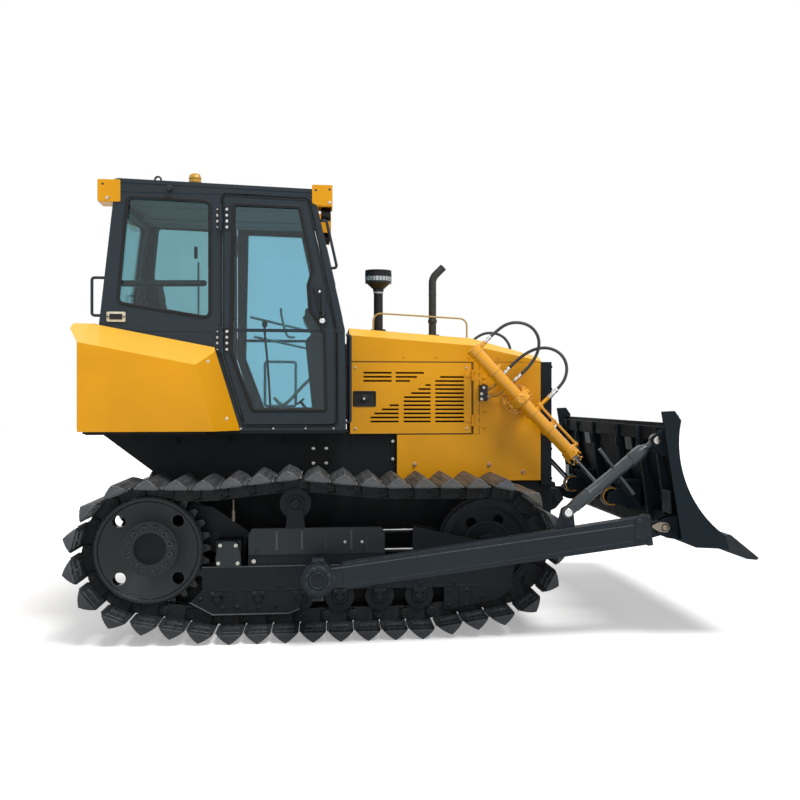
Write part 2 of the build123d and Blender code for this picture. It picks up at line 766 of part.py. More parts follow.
# ================================================================ cab
cab_side = [
    (cab_rear_x, hull_top_z + deck_thick), (cab_front_x, hull_top_z + deck_thick), cab_belt,
    cab_roof_front, cab_roof_rear, (cab_rear_x, cab_rear_belt_z),
]
side_window = [(-1420, 3200), (-830, 3180), (-830, 2310), (-1490, 2415)]
cab_door_outline = [
    (-739, 3236), (-95, 3216), (112, 2215), (118, 1500), (-577, 1500), (-739, 2035),
]
door_window = [
    (-650, 3160), (-170, 3150), (-68, 2680), (-104, 2560), (-92, 2376), (16, 2205), (30, 1617),
    (-510, 1617), (-672, 2055),
]
front_window_z = (2320.0, 3150.0)
front_window_half = 640.0
rear_window_z = (2420.0, 3150.0)
rear_window_half = 560.0


def leaning_x(line, z):
    """X on a straight line through two (x, z) points at height z."""
    (x1, z1), (x2, z2) = line
    return x1 + (x2 - x1) * (z - z1) / (z2 - z1)


def window_opening(line, half, z):
    """A hole through the front or rear wall, which follows the wall's lean."""
    reach = cab_wall + 120
    low, high = leaning_x(line, z[0]), leaning_x(line, z[1])
    outline = [(low - reach, z[0]), (low + reach, z[0]), (high + reach, z[1]), (high - reach, z[1])]
    return prism(outline, (-half, half))


front_line = (cab_belt, cab_roof_front)
rear_line = ((cab_rear_x, cab_rear_belt_z), cab_roof_rear)


def cab_frame():
    """Pillars and lower panels of the cab, open to the deck below and the roof above."""
    inner = [
        (cab_rear_x + cab_wall, hull_top_z), (cab_front_x - cab_wall, hull_top_z),
        (cab_belt[0] - cab_wall, cab_belt[1]), (cab_roof_front[0] - cab_wall, cab_roof_front[1] + 100),
        (cab_roof_rear[0] + cab_wall, cab_roof_rear[1] + 100), (cab_rear_x + cab_wall, cab_rear_belt_z),
    ]
    shell = prism(cab_side, (-cab_half_width, cab_half_width))
    shell -= prism(inner, (-cab_half_width + cab_wall, cab_half_width - cab_wall))
    across = (-cab_half_width - 10, cab_half_width + 10)
    shell -= through_wall(side_window, 45, across)
    shell -= through_wall(cab_door_outline, 40, across)
    shell -= window_opening(front_line, front_window_half, front_window_z)
    shell -= window_opening(rear_line, rear_window_half, rear_window_z)
    hinges = [fixed_hinge(hinge_axis, z, hinge_length, -cab_half_width, -1) for z in hinge_z]
    right = joined([shell] + hinges)
    return joined([right] + [left_of(piece) for piece in hinges])


def cab_roof():
    (fx, fz), (rx, rz), gap = cab_roof_front, cab_roof_rear, seat_gap
    outline = [
        (rx - 8, rz + gap), (fx + 8, fz + gap), (fx + roof_nose, fz + roof_thick * 0.8),
        (fx - 10, fz + roof_thick), (rx + 20, rz + roof_thick), (rx - 8, rz + roof_thick * 0.7),
    ]
    return prism(outline, (-cab_half_width - 4, cab_half_width + 4))


def cab_door():
    """The right cab door: a framed leaf with a cut-out for its glass and its half of the hinges."""
    y = (-cab_half_width - door_proud, -cab_half_width - door_proud + door_leaf)
    face = rounded_outline(cab_door_outline, 40)
    leaf = extrude(Pos(0, y[0], 0) * offset(face, -panel_gap), amount=door_leaf, dir=(0, 1, 0))
    leaf -= through_wall(door_window, 22, (y[0] - 5, y[1] + 5))
    pieces = [leaf]
    pieces += [swinging_hinge(hinge_axis, z, hinge_length, y[0], 1) for z in hinge_z]
    handle = block((2, 22), (y[0] - 34, y[0] + 1), (2330, 2500))
    handle -= block((0, 24), (y[0] - 20, y[0] + 2), (2360, 2470))
    pieces.append(handle)
    return joined(pieces)


def door_glass():
    y = -cab_half_width - door_proud + door_leaf / 2 - glass_thick / 2
    face = rounded_outline(door_window, 22)
    return extrude(Pos(0, y, 0) * offset(face, -seat_gap), amount=glass_thick, dir=(0, 1, 0))


def cab_glass():
    """Side, front and rear panes, set in the middle of the walls."""
    y = -cab_half_width + cab_wall / 2 - glass_thick / 2
    side = offset(rounded_outline(side_window, 45), -seat_gap)
    pane = extrude(Pos(0, y, 0) * side, amount=glass_thick, dir=(0, 1, 0))
    panes = [pane, left_of(pane)]
    settings = (
        (front_line, front_window_half, front_window_z, -cab_wall / 2),
        (rear_line, rear_window_half, rear_window_z, cab_wall / 2),
    )
    for line, half, z, inward in settings:
        low, high = (leaning_x(line, height) + inward for height in z)
        half_thick = glass_thick / 2
        outline = [
            (low - half_thick, z[0] + seat_gap), (low + half_thick, z[0] + seat_gap),
            (high + half_thick, z[1] - seat_gap), (high - half_thick, z[1] - seat_gap),
        ]
        panes.append(prism(outline, (-half + seat_gap, half - seat_gap)))
    return Part() + panes


floor_z = hull_top_z + deck_thick
seat_x = -1080.0
seat_height = 560.0


def seat_base():
    body = block((seat_x - 230, seat_x + 230), (-240, 240), (floor_z + seat_gap, floor_z + 300))
    post = block((seat_x - 180, seat_x + 180), (-190, 190), (floor_z + 299, floor_z + seat_height - 110))
    return body + post


def seat_cushion():
    z = floor_z + seat_height
    return block((seat_x - 250, seat_x + 260), (-255, 255), (z - 110 + seat_gap, z + 20))


def seat_back():
    z = floor_z + seat_height + 20 + seat_gap
    outline = [(seat_x - 250, z), (seat_x - 120, z), (seat_x - 230, z + 640), (seat_x - 330, z + 640)]
    return prism(outline, (-245, 245))


def controls():
    """Side consoles with levers, and the dash with its column."""
    pieces = []
    for side in (-1, 1):
        span = sorted((side * 290, side * 470))
        box = block((seat_x - 200, seat_x + 330), span, (floor_z + seat_gap, floor_z + 640))
        y = side * 380
        lever = rod((seat_x + 270, y, floor_z + 635), (seat_x + 330, y, floor_z + 880), 12)
        knob = Pos(seat_x + 334, y, floor_z + 896) * Sphere(26)
        pieces.append(joined([box, lever, knob]))
    front = cab_front_x - cab_wall - 29
    dash_outline = [
        (-60, floor_z + seat_gap), (front, floor_z + seat_gap), (front, floor_z + 800),
        (-40, floor_z + 800), (-130, floor_z + 700),
    ]
    dash = prism(dash_outline, (-330, 330))
    pedals = [
        rod((-50, y, floor_z + 60), (-172, y, floor_z + 216), 9)
        + Pos(-172, y, floor_z + 216) * Rot(0, -40, 0) * Box(70, 90, 12)
        for y in (-180, 180)
    ]
    pieces.append(joined([dash] + pedals))
    return Part() + pieces


def fender():
    """The right fender box: flat side, sloping top, and a front face that turns in to the cab."""
    inner_y, outer_y = -fender_half_width[0], -fender_half_width[1]
    outline = [
        (fender_x[0], fender_z[0]), (fender_x[1], fender_z[0]), (-795, 2093), (-880, 2106),
        (-1673, fender_z[1]), (tank_rear_x + 10, fender_z[1]), (tank_rear_x, fender_lip_z),
        (fender_x[0], fender_edge_z),
    ]
    body = prism(outline, (outer_y, inner_y))
    rear_in, front_in = Vector(-1673, inner_y, fender_z[1]), Vector(-803, inner_y, 2089)
    rear_out, front_out = Vector(fender_x[0], outer_y, fender_edge_z), Vector(-898, outer_y, 1941)
    body = cut_off(body, rear_in, (front_in - rear_in).cross(rear_out - rear_in) * -1)
    low_in = Vector(fender_x[1], inner_y, fender_z[0])
    low_out = Vector(-780, outer_y, fender_z[0])
    return cut_off(body, low_in, (low_out - low_in).cross(front_out - low_in) * -1)


def fuel_tank():
    x = (tank_rear_x, cab_rear_x - 6)
    outline = [
        (fender_x[0], fender_z[0]), (x[1], fender_z[0]), (x[1], 2190), (x[1] - 12, fender_z[1]),
        (x[0] + 10, fender_z[1]), (x[0], fender_lip_z), (fender_x[0], fender_edge_z),
    ]
    half = fender_half_width[0] - seat_gap
    body = prism(outline, (-half, half))
    neck = Pos(x[0] + 80, 400, fender_z[1] + 20) * Cylinder(52, 70)
    return body + neck


def wall_points(line, heights, outward):
    """Where a rail's square ends meet a leaning wall at two heights."""
    (x1, z1), (x2, z2) = line
    stand_off = seat_gap + grab_rail_r * abs((x2 - x1) / (z2 - z1))
    return [(leaning_x(line, z) + outward * stand_off, z) for z in heights]


def grab_rails():
    """Hand loops on the cab's corners: beside the tank, along the front pillar and near the roof."""
    y = -cab_half_width + 35
    rear = wall_points(rear_line, (2600.0, 2320.0), -1)
    front = wall_points(front_line, (3060.0, 2700.0), 1)
    post_x = cab_front_x + seat_gap
    loops = [
        [rear[0], (rear[1][0] - 62, rear[0][1]), (rear[1][0] - 62, rear[1][1]), rear[1]],
        [(post_x, 2190), (post_x + 33, 2190), (post_x + 33, 1520), (post_x, 1520)],
        [front[0], (front[0][0] + 45, front[0][1]), (front[1][0] + 45, front[1][1]), front[1]],
    ]
    rails = [tube([(px, y, pz) for px, pz in loop], grab_rail_r, 20) for loop in loops]
    return Part() + rails + [left_of(rail) for rail in rails]


def lamp_guards():
    """Boxed corners over the work lamps, behind and in front of the roof."""
    z = (3160.0, 3326.0)
    rear = (cab_rear_x - 2, leaning_x(rear_line, z[0]) - seat_gap)
    front = (max(leaning_x(front_line, z[0]), cab_roof_front[0] + roof_nose) + seat_gap, 82)
    y = (-cab_half_width + 4, -cab_half_width + lamp_guard_width)
    boxes = [block(x, y, z) for x in (rear, front)]
    hollow = block((front[0] + 14, front[1] - 6), (y[0] + 6, y[1] - 6), (z[0] - 1, z[1] - 8))
    boxes[1] -= hollow
    return Part() + boxes + [left_of(box) for box in boxes]


def work_lamps():
    """Front lamps: a round body on a stalk under each guard."""
    lamps = []
    middle = cab_half_width - lamp_guard_width / 2
    for y in (-middle, middle):
        body = Pos(28, y, 3118) * Rot(0, 90, 0) * Cylinder(50, 66)
        stalk = Pos(24, y, 3242) * Cylinder(9, 3318 - 3166 - seat_gap)
        lamps.append(body + stalk)
    return Part() + lamps


def roof_top(x):
    """Height of the roof's upper face at x."""
    front, rear = (cab_roof_front[0] - 10, cab_roof_front[1]), (cab_roof_rear[0] + 20, cab_roof_rear[1])
    return front[1] + (rear[1] - front[1]) * (x - front[0]) / (rear[0] - front[0]) + roof_thick


def beacon():
    """The warning lamp on its base."""
    x, y, base_r = -955.0, -600.0, 58.0
    base = roof_top(x - base_r) + seat_gap
    return joined([
        Pos(x, y, base + 12) * Cylinder(base_r, 24),
        Pos(x, y, base + 62) * Cylinder(46, 78),
    ])


def roof_eyes():
    """Lifting eyes on the roof."""
    x, y = -1229.0, -600.0
    base = roof_top(x - 24) + seat_gap
    foot = Pos(x, y, base + 5) * Cylinder(24, 10)
    ring = disc((x, base + 36), 29, (y - 7, y + 7))
    eye = foot + ring - disc((x, base + 36), roof_eye_r, (y - 20, y + 20))
    return both_sides(eye)


# ================================================================ blade and push frame
def circle_centre(a, b, c):
    """Centre of the circle through three (x, z) points."""
    ax, az, bx, bz, cx, cz = *a, *b, *c
    d = 2 * (ax * (bz - cz) + bx * (cz - az) + cx * (az - bz))
    aa, bb, cc = ax * ax + az * az, bx * bx + bz * bz, cx * cx + cz * cz
    return (
        (aa * (bz - cz) + bb * (cz - az) + cc * (az - bz)) / d,
        (aa * (cx - bx) + bb * (ax - cx) + cc * (bx - ax)) / d,
    )


mould_centre = circle_centre(mould_top, mould_mid, mould_low)
mould_r = math.dist(mould_centre, mould_mid)


def mould_sector(inner_r, outer_r, y):
    """The curved plate between two radii, from the blade's top to its foot."""
    ring = disc(mould_centre, outer_r, y) - disc(mould_centre, inner_r, y)
    far = 3000.0
    points = [mould_centre]
    for x, z in (mould_top, mould_low):
        length = math.dist((x, z), mould_centre)
        points.append(
            (mould_centre[0] + (x - mould_centre[0]) * far / length,
             mould_centre[1] + (z - mould_centre[1]) * far / length)
        )
    return ring & prism(points, y)


def ear(points, middle, half, thick):
    """Two cheek plates beside a middle line."""
    return [
        prism(points, (middle - half - thick, middle - half)),
        prism(points, (middle + half, middle + half + thick)),
    ]


def blade():
    inner_half = blade_half_width - end_plate
    y = (-inner_half - 1, inner_half + 1)
    plate = mould_sector(mould_r, mould_r + mould_thick, y)
    front_void = disc(mould_centre, mould_r + mould_thick / 2, (y[0] - 50, y[1] + 50))
    foot = prism([(2492, 870), (2502, 711), (2604, 655), foot_low, foot_high], y)
    top = prism([(top_beam_x, 1500), (top_beam_x, 1400), (2480, 1400), (2480, 1500)], y)
    ribs = [
        prism([(2384, 1500), (2480, 800), (2600, 800), (2500, 1500)], (ry - 11, ry + 11))
        for ry in (-1500, -1050, -420, 420, 1050, 1500)
    ]
    back = [foot, top] + ribs
    for side in (-1, 1):
        lift_ear = [(2500, 820), (2500, 1060), (2300, 985), (2240, 960), (2232, 900), (2290, 872)]
        back += ear(lift_ear, side * lift_y, eye_half_width + 6, 22)
        back.append(block((2380, 2500), (side * lift_y - 90, side * lift_y + 90), (1040, 1060)))
        arm_ear = [(2520, 700), (2500, 880), (2400, 850), (2350, 810), (2350, 750), (2420, 716)]
        back += ear(arm_ear, side * arm_y, 42, 26)
        brace_ear = [
            (2430, 1290), (2412, 1490), (2350, 1450), (2315, 1420), (2330, 1366), (2400, 1300),
        ]
        back += ear(brace_ear, side * arm_y, 26, 18)
    body = plate.fuse(*[piece - front_void for piece in back])
    # Pins: place, radius, distance from the middle of the machine, half length.
    pins = [
        (rod_eye, eye_pin_r, lift_y, eye_half_width + 30),
        (blade_pin, blade_pin_r, arm_y, 76),
        (brace_high, brace_pin_r, arm_y, 52),
    ]
    for place, radius, middle, half in pins:
        body = body.fuse(*[
            disc(place, radius, (side * middle - half, side * middle + half)) for side in (-1, 1)
        ])
    high, low = (foot_high[0], 0, foot_high[1]), (foot_low[0], 0, foot_low[1])
    front = ThreePointArc((2497, 0, 1550), (2500, 0, 1225), high)
    for side in (-1, 1):
        y0, y1 = sorted((side * inner_half, side * blade_half_width))
        edge = [
            Line((2357, 0, 1612), (2450, 0, 1616)), Line((2450, 0, 1616), (2497, 0, 1550)), front,
            Line(high, low), Line(low, (2604, 0, 655)),
            Line((2604, 0, 655), (2502, 0, 711)), Line((2502, 0, 711), (2357, 0, 1612)),
        ]
        cheek = extrude(Pos(0, y0, 0) * make_face(Wire(edge)), amount=y1 - y0, dir=(0, 1, 0))
        body = body.fuse(cheek)
    return body


def cutting_edge():
    gap = seat_gap
    points = [
        (foot_high[0] + gap, foot_high[1]), (foot_high[0] + 12, foot_high[1] + 9),
        (foot_high[0] + 40, foot_high[1] + 6), (edge_tip_x, 574), (edge_tip_x - 15, 560),
        (2980, 567), (foot_low[0] + gap, foot_low[1] - 26), (foot_low[0] + gap, foot_low[1]),
    ]
    return prism(points, (-blade_half_width, blade_half_width))


arm_angle = math.degrees(math.atan2(blade_pin[1] - pivot[1], blade_pin[0] - pivot[0]))
arm_length = math.dist(pivot, blade_pin)


def along_arm(points):
    """Points given along and above the arm's centre line, in X and Z."""
    c, s = math.cos(math.radians(arm_angle)), math.sin(math.radians(arm_angle))
    return [(pivot[0] + a * c - h * s, pivot[1] + a * s + h * c) for a, h in points]


def tapered(start, half_start, end, half_end, y):
    """A bar between two distances along the arm, with its half height at each."""
    corners = [(start, half_start), (end, half_end), (end, -half_end), (start, -half_start)]
    return prism(along_arm(corners), y)


def push_arm():
    y = (-arm_y - arm_half_width, -arm_y + arm_half_width)
    low, high = arm_height[0] / 2, arm_height[1] / 2
    end = arm_length - 140
    beam = tapered(178, low, end, high, y)
    neck = tapered(60, 60, 180, 70, (y[0] + 6, y[1] - 6))
    collar = tapered(end - 2, high + 8, end + 34, high + 8, (y[0] - 8, y[1] + 8))
    eye = disc(pivot, arm_eye_r, y)
    tongue = tapered(end + 33, 60, arm_length + 20, 44, (-arm_y - 38, -arm_y + 38))
    lug = prism([(1628, 760), (1770, 780), (1756, 910), (1713, 950), (1672, 930)],
                (-arm_y - 16, -arm_y + 16))
    lug -= disc(brace_low, brace_pin_r + seat_gap, (-arm_y - 50, -arm_y + 50))
    arm = joined([beam, neck, collar, eye, tongue, lug])
    arm -= disc(pivot, trunnion_r + pin_clearance, (y[0] - 20, y[1] + 20))
    return arm - disc(blade_pin, blade_pin_r + seat_gap, (-arm_y - 60, -arm_y + 60))


brace_length = math.dist(brace_low, brace_high)
brace_dir = ((brace_high[0] - brace_low[0]) / brace_length, (brace_high[1] - brace_low[1]) / brace_length)


def on_brace(distance, y, above=0.0):
    """A point on the brace's axis, a distance from its lower pin, or square above it."""
    return (
        brace_low[0] + brace_dir[0] * distance - brace_dir[1] * above,
        y,
        brace_low[1] + brace_dir[1] * distance + brace_dir[0] * above,
    )


def brace_fork(y, reach, half, thick):
    """Two cheeks beside the push arm's lug, and the pin through them."""
    corners = [(0, half), (reach, half), (reach, -half), (0, -half)]
    outline = [on_brace(at, y, above)[::2] for at, above in corners]
    pieces = [disc(brace_low, brace_pin_r, (y - fork_gap - thick - 8, y + fork_gap + thick + 8))]
    for side in (-1, 1):
        span = sorted((y + side * fork_gap, y + side * (fork_gap + thick)))
        pieces.append(disc(brace_low, half + 6, span))
        pieces.append(prism(outline, span))
    return pieces


def brace():
    """The screw brace between the right arm and the blade: fork, screw, tube and eye."""
    y = -arm_y
    end = brace_length - 112
    middle = brace_length * 0.56
    pieces = [
        rod(on_brace(70, y), on_brace(end, y), 33),
        rod(on_brace(90, y), on_brace(190, y), 42),
        rod(on_brace(end - 178, y), on_brace(end + 2, y), 46),
        rod(on_brace(middle, y, 205), on_brace(middle, y, -205), 12),
        rod(on_brace(end, y), on_brace(brace_length - 30, y), 22),
        disc(brace_high, brace_eye_r, (y - 22, y + 22)),
    ]
    body = joined(pieces + brace_fork(y, 100, 34, 20))
    return body - disc(brace_high, brace_pin_r + seat_gap, (y - 60, y + 60))


def tilt_cylinder():
    """The hydraulic cylinder in the brace's place on the left."""
    y = arm_y
    end = 560
    pieces = [
        rod(on_brace(90, y), on_brace(end, y), 52),
        rod(on_brace(end - 60, y), on_brace(end + 6, y), 60),
        rod(on_brace(end, y), on_brace(brace_length - 30, y), 22),
        disc(brace_high, brace_eye_r, (y - 22, y + 22)),
    ]
    body = joined(pieces + brace_fork(y, 110, 36, 22))
    return body - disc(brace_high, brace_pin_r + seat_gap, (y - 60, y + 60))


# ================================================================ lift cylinders
lift_length = math.dist(lift_trunnion, rod_eye)
lift_dir = (
    (rod_eye[0] - lift_trunnion[0]) / lift_length,
    (rod_eye[1] - lift_trunnion[1]) / lift_length,
)


def on_lift(distance):
    """A point on the right lift cylinder's axis, a distance from its trunnion to the rod's eye."""
    return (
        lift_trunnion[0] + lift_dir[0] * distance,
        -lift_y,
        lift_trunnion[1] + lift_dir[1] * distance,
    )


def beside_lift(distance, above):
    """The same, raised square to the axis, up and forward."""
    x, y, z = on_lift(distance)
    return (x - lift_dir[1] * above, y, z + lift_dir[0] * above)


tee_root = beside_lift(tee_at, return_offset)
tee_end = (1795.0, -lift_y, 1735.0)


def lift_barrel():
    barrel = rod(on_lift(-barrel_behind), on_lift(barrel_ahead), barrel_r)
    cap = rod(on_lift(-barrel_behind), on_lift(-barrel_behind + 50), barrel_r + 6)
    gland = rod(on_lift(barrel_ahead - gland_length), on_lift(barrel_ahead), gland_r)
    ring = rod(on_lift(-ring_length / 2), on_lift(ring_length / 2), ring_r)
    pin = disc(lift_trunnion, lift_pin_r, (-lift_y + barrel_r - 2, -hood_half_width - 36))
    port = rod(beside_lift(-port_back, 40), beside_lift(-port_back, port_reach), 19)
    pipe = rod(beside_lift(tee_at, return_offset), beside_lift(barrel_ahead - 40, return_offset), 10)
    tee = rod(beside_lift(tee_at - 24, return_offset), beside_lift(tee_at + 24, return_offset), 17)
    stub = rod(tee_root, tee_end, 15)
    clamps = [
        rod(beside_lift(a, 0), beside_lift(a + 26, 0), barrel_r + 7)
        + rod(beside_lift(a + 13, 40), beside_lift(a + 13, return_offset + 12), 12)
        for a in (tee_at - 13, 300)
    ]
    end = barrel_ahead - 42
    outlet = rod(beside_lift(end, 30), beside_lift(end, return_offset + 14), 17)
    body = joined([barrel, cap, gland, ring, pin, port, pipe, tee, stub, outlet] + clamps)
    bore = rod(on_lift(-barrel_behind + 40), on_lift(barrel_ahead - gland_length), barrel_bore_r)
    gland_start = barrel_ahead - gland_length
    hole = rod(on_lift(gland_start - 1), on_lift(barrel_ahead + 1), rod_r + pin_clearance)
    return body - bore - hole


def lift_rod():
    eye_in = eye_pin_r + eye_play
    eye_out = eye_in + eye_wall
    shaft = rod(on_lift(-piston_back), on_lift(lift_length - eye_in - 4), rod_r)
    piston = rod(on_lift(-piston_back - 50), on_lift(-piston_back), barrel_bore_r - pin_clearance)
    y = (-lift_y - eye_half_width, -lift_y + eye_half_width)
    eye = disc(rod_eye, eye_out, y)
    return joined([shaft, piston, eye]) - disc(rod_eye, eye_in, (y[0] - 5, y[1] + 5))


def lift_mount():
    """The round bearing housing on the side of the engine that carries a lift cylinder."""
    y = -hood_half_width - seat_gap
    plate = disc(lift_trunnion, lift_flange_r, (y - 26, y))
    boss = disc(lift_trunnion, 70, (y - 78, y))
    bore = disc(lift_trunnion, lift_pin_r + pin_clearance, (y - 100, y - 24))
    return plate + boss - bore


# ================================================================ hoses
def beyond(start, end, distance):
    """The point on a line, a distance past its end."""
    along = (Vector(*end) - Vector(*start)).normalized()
    return tuple(Vector(*end) + along * distance)


def beside_hood(*points):
    """Points given by x, by how far they stand out from the hood's right side, and by z."""
    return [(x, -hood_half_width - out, z) for x, out, z in points]


# Points of each hose of the right lift cylinder, from the cylinder to the fixed pipe.
head_port = beside_lift(-port_back, port_reach)
hose_routes = {
    "hose_head": [head_port, beside_lift(-port_back, port_reach + 112)] + beside_hood(
        (1435, 170, 2293), (1540, 170, 2306), (1638, 170, 2270), (1696, 164, 2185), (1696, 146, 2083),
        (1650, 120, 1990), (1583, 96, 1912), (1518, 82, 1853),
    ),
    "hose_rod": [tee_end, beyond(tee_root, tee_end, 90)] + beside_hood(
        (1912, 168, 1875), (1922, 162, 1970), (1882, 140, 2058), (1795, 112, 2108), (1690, 90, 2105),
        (1592, 78, 2056), (1505, 72, 1983), (1432, 70, 1904),
    ),
}


def corner_radii(points):
    """The largest arc that each corner's two runs allow."""
    radii = []
    for before, corner, after in zip(points, points[1:], points[2:]):
        into, out = Vector(*corner) - Vector(*before), Vector(*after) - Vector(*corner)
        turn = math.radians(into.get_angle(out))
        radii.append(0.45 * min(into.length, out.length) / math.tan(turn / 2))
    return radii


def hose(points):
    """A hose's tube: straight runs joined by tangent arcs."""
    line = FilletPolyline(*points, radius=corner_radii(points))
    body = sweep(Plane(origin=line @ 0, z_dir=line % 0) * Circle(hose_diameter / 2), path=line)
    share = body.volume / (math.pi * hose_diameter**2 / 4 * line.length)
    print("hose corner radii", [round(radius) for radius in corner_radii(points)])
    print("hose length", round(line.length), "volume over section times length", round(share, 4))
    return body


def fixed_pipes():
    """The block beside the engine door and the two steel pipes that the hoses are screwed to."""
    y = (-hood_half_width - 50, -hood_half_width - seat_gap)
    body = block((1239, 1303), y, (1685, 1812))
    head, rod_side = hose_routes["hose_head"], hose_routes["hose_rod"]
    pipes = []
    for route, bends in (
        (head, beside_hood((1452, 68, 1793), (1390, 45, 1732), (1300, 26, 1718))),
        (rod_side, beside_hood((1384, 67, 1852), (1350, 48, 1794), (1300, 26, 1778))),
    ):
        end, before = Vector(*route[-1]), Vector(*route[-2])
        along = (end - before).normalized()
        start = end + along * seat_gap
        pipes.append(tube([tuple(start)] + bends, 10, 30))
        pipes.append(rod(tuple(start), tuple(start + along * 34), 17))
    return joined([body] + pipes)


# ================================================================ export
origin_x = (edge_tip_x + tank_rear_x) / 2

nodes = {
    "hull": hull(),
    "engine_block": engine_block(),
    "deck": deck(),
    "drawbar": drawbar(),
    "tow_hook": tow_hook(),
    "hood": hood(),
    "hood_bulkhead": bulkhead(),
    "side_panels": both_sides(side_panel()),
    "engine_door_right": engine_door(),
    "engine_door_left": left_of(engine_door()),
    "radiator_guard": radiator_guard(),
    "hood_rail": hood_rail(),
    "pre_cleaner": pre_cleaner(),
    "exhaust_pipe": exhaust_pipe(),
    "cab_frame": cab_frame(),
    "cab_roof": cab_roof(),
    "cab_glass": cab_glass(),
    "cab_door_right": cab_door(),
    "cab_door_left": left_of(cab_door()),
    "door_glass_right": door_glass(),
    "door_glass_left": left_of(door_glass()),
    "seat_base": seat_base(),
    "seat_cushion": seat_cushion(),
    "seat_back": seat_back(),
    "controls": controls(),
    "fenders": both_sides(fender()),
    "fuel_tank": fuel_tank(),
    "grab_rails": grab_rails(),
    "lamp_guards": lamp_guards(),
    "work_lamps": work_lamps(),
    "beacon": beacon(),
    "roof_eyes": roof_eyes(),
    "track_right": track(),
    "track_left": left_of(track()),
    "sprockets": both_sides(sprocket_wheel()),
    "idlers": both_sides(idler_wheel() + idler_shaft()),
    "track_rollers": Part() + [p for r in track_rollers() for p in (r, left_of(r))],
    "track_frames": both_sides(track_frame()),
    "final_drives": both_sides(final_drive()),
    "lift_mounts": both_sides(lift_mount()),
    "lift_barrel_right": lift_barrel(),
    "lift_barrel_left": left_of(lift_barrel()),
    "lift_rod_right": lift_rod(),
    "lift_rod_left": left_of(lift_rod()),
    "fixed_pipes": both_sides(fixed_pipes()),
    "blade": blade(),
    "cutting_edge": cutting_edge(),
    "push_arm_right": push_arm(),
    "push_arm_left": left_of(push_arm()),
    "brace": brace(),
    "tilt_cylinder": tilt_cylinder(),
}

for name, points in hose_routes.items():
    nodes[f"{name}_right"] = hose(points)
    nodes[f"{name}_left"] = left_of(nodes[f"{name}_right"])

os.makedirs("parts", exist_ok=True)
for name, shape in nodes.items():
    export_step(Pos(-origin_x, 0, 0) * shape, f"parts/{name}.step")
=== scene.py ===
import json
import math

import bmesh
import bpy
from bpy.props import FloatProperty, FloatVectorProperty, IntProperty, PointerProperty
from mathutils import Matrix, Vector


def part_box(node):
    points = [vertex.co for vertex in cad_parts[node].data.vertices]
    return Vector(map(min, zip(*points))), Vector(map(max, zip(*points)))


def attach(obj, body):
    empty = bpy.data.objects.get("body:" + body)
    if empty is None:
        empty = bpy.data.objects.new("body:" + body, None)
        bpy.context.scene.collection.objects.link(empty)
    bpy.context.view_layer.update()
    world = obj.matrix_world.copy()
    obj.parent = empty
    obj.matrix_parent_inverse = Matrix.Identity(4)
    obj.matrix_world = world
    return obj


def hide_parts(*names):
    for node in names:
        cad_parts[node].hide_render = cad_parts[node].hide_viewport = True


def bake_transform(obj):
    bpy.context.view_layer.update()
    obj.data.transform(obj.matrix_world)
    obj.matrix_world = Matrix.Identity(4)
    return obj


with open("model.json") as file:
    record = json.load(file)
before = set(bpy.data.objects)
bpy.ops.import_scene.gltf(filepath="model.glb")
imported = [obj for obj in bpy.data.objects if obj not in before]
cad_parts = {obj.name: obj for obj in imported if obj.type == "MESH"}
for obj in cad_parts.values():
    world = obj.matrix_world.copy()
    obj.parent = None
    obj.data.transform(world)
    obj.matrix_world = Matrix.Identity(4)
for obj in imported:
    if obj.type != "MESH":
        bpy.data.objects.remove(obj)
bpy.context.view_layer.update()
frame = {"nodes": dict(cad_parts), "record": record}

bl_info = {
    "name": "Crawler dozer detail",
    "version": (1, 0, 0),
    "blender": (4, 5, 0),
    "location": "3D View > Sidebar > Dozer",
    "description": "Adds the treads, trim, hoses, seat, finishes and studio round a crawler dozer",
    "category": "Object",
}

# Places are written in millimetres from the middle between the axles: x to the blade, y to the
# machine's left, z up. at() turns them into the frame's metres.
MIDDLE_X = 630.5
MM = 0.001

RIGHT, LEFT = -1, 1
SIDES = ((RIGHT, "right"), (LEFT, "left"))
OUT, UP = (0, -1, 0), (0, 0, 1)  # out from the right side, and up

# ---------------------------------------------------------------- undercarriage
TRACK_Y = 1025.0
SHOE_HALF_WIDTH = 450.0
SPROCKET = (-1225.0, 620.0)
IDLER = (1225.0, 606.0)
WHEEL_PIN_R = 408.5
PITCH = 190.0
# From a link's pin: up to the shoe's inner face and its tip, down to the link's running face.
PLATE, SHOE_TIP, RAIL_DROP = 48.0, 120.0, 57.0
ROLLER_X = [-741.0 + 290.6 * i for i in range(6)]
ROLLER_Z, ROLLER_R = 259.0, 82.0
CARRIER = (-188.0, 940.0, 90.0)
FRAME_FACE = 1155.0
# The slack upper run: the radius of its sag, its lowest height and where that lies.
SAG_R, SLACK_Z, SLACK_X = 1500.0, 1022.0, (-860.0, 520.0)

# Share of a tooth's step and radius, round the sprocket.
TEETH = 27
TOOTH = ((-0.36, 378.0), (-0.14, 430.0), (0.14, 430.0), (0.36, 378.0))

# ---------------------------------------------------------------- working gear
PIVOT = (-26.0, 469.0)
ARM_FACE = 1700.0
ARM_Y = 1640.0
BLADE_PIN = (2413.0, 786.0)
BRACE_LOW, BRACE_HIGH = (1713.0, 903.0), (2356.0, 1406.0)
BRACE_FACE = 1688.0
LIFT_Y = 700.0
LIFT_TRUNNION = (1540.0, 1700.0)
ROD_EYE = (2272.0, 930.0)
ROD_EYE_RIM, ROD_EYE_FACE = 0.0915, 0.070  # radii in metres of its paint and of the dark edge
LIFT_FLANGE = 556.0
PIPE_START = 1304.0  # where the pipes leave their block
HOOD_FACE, HULL_FACE = 530.0, 482.0
PRE_CLEANER, EXHAUST = (455, -250), (905, -150)

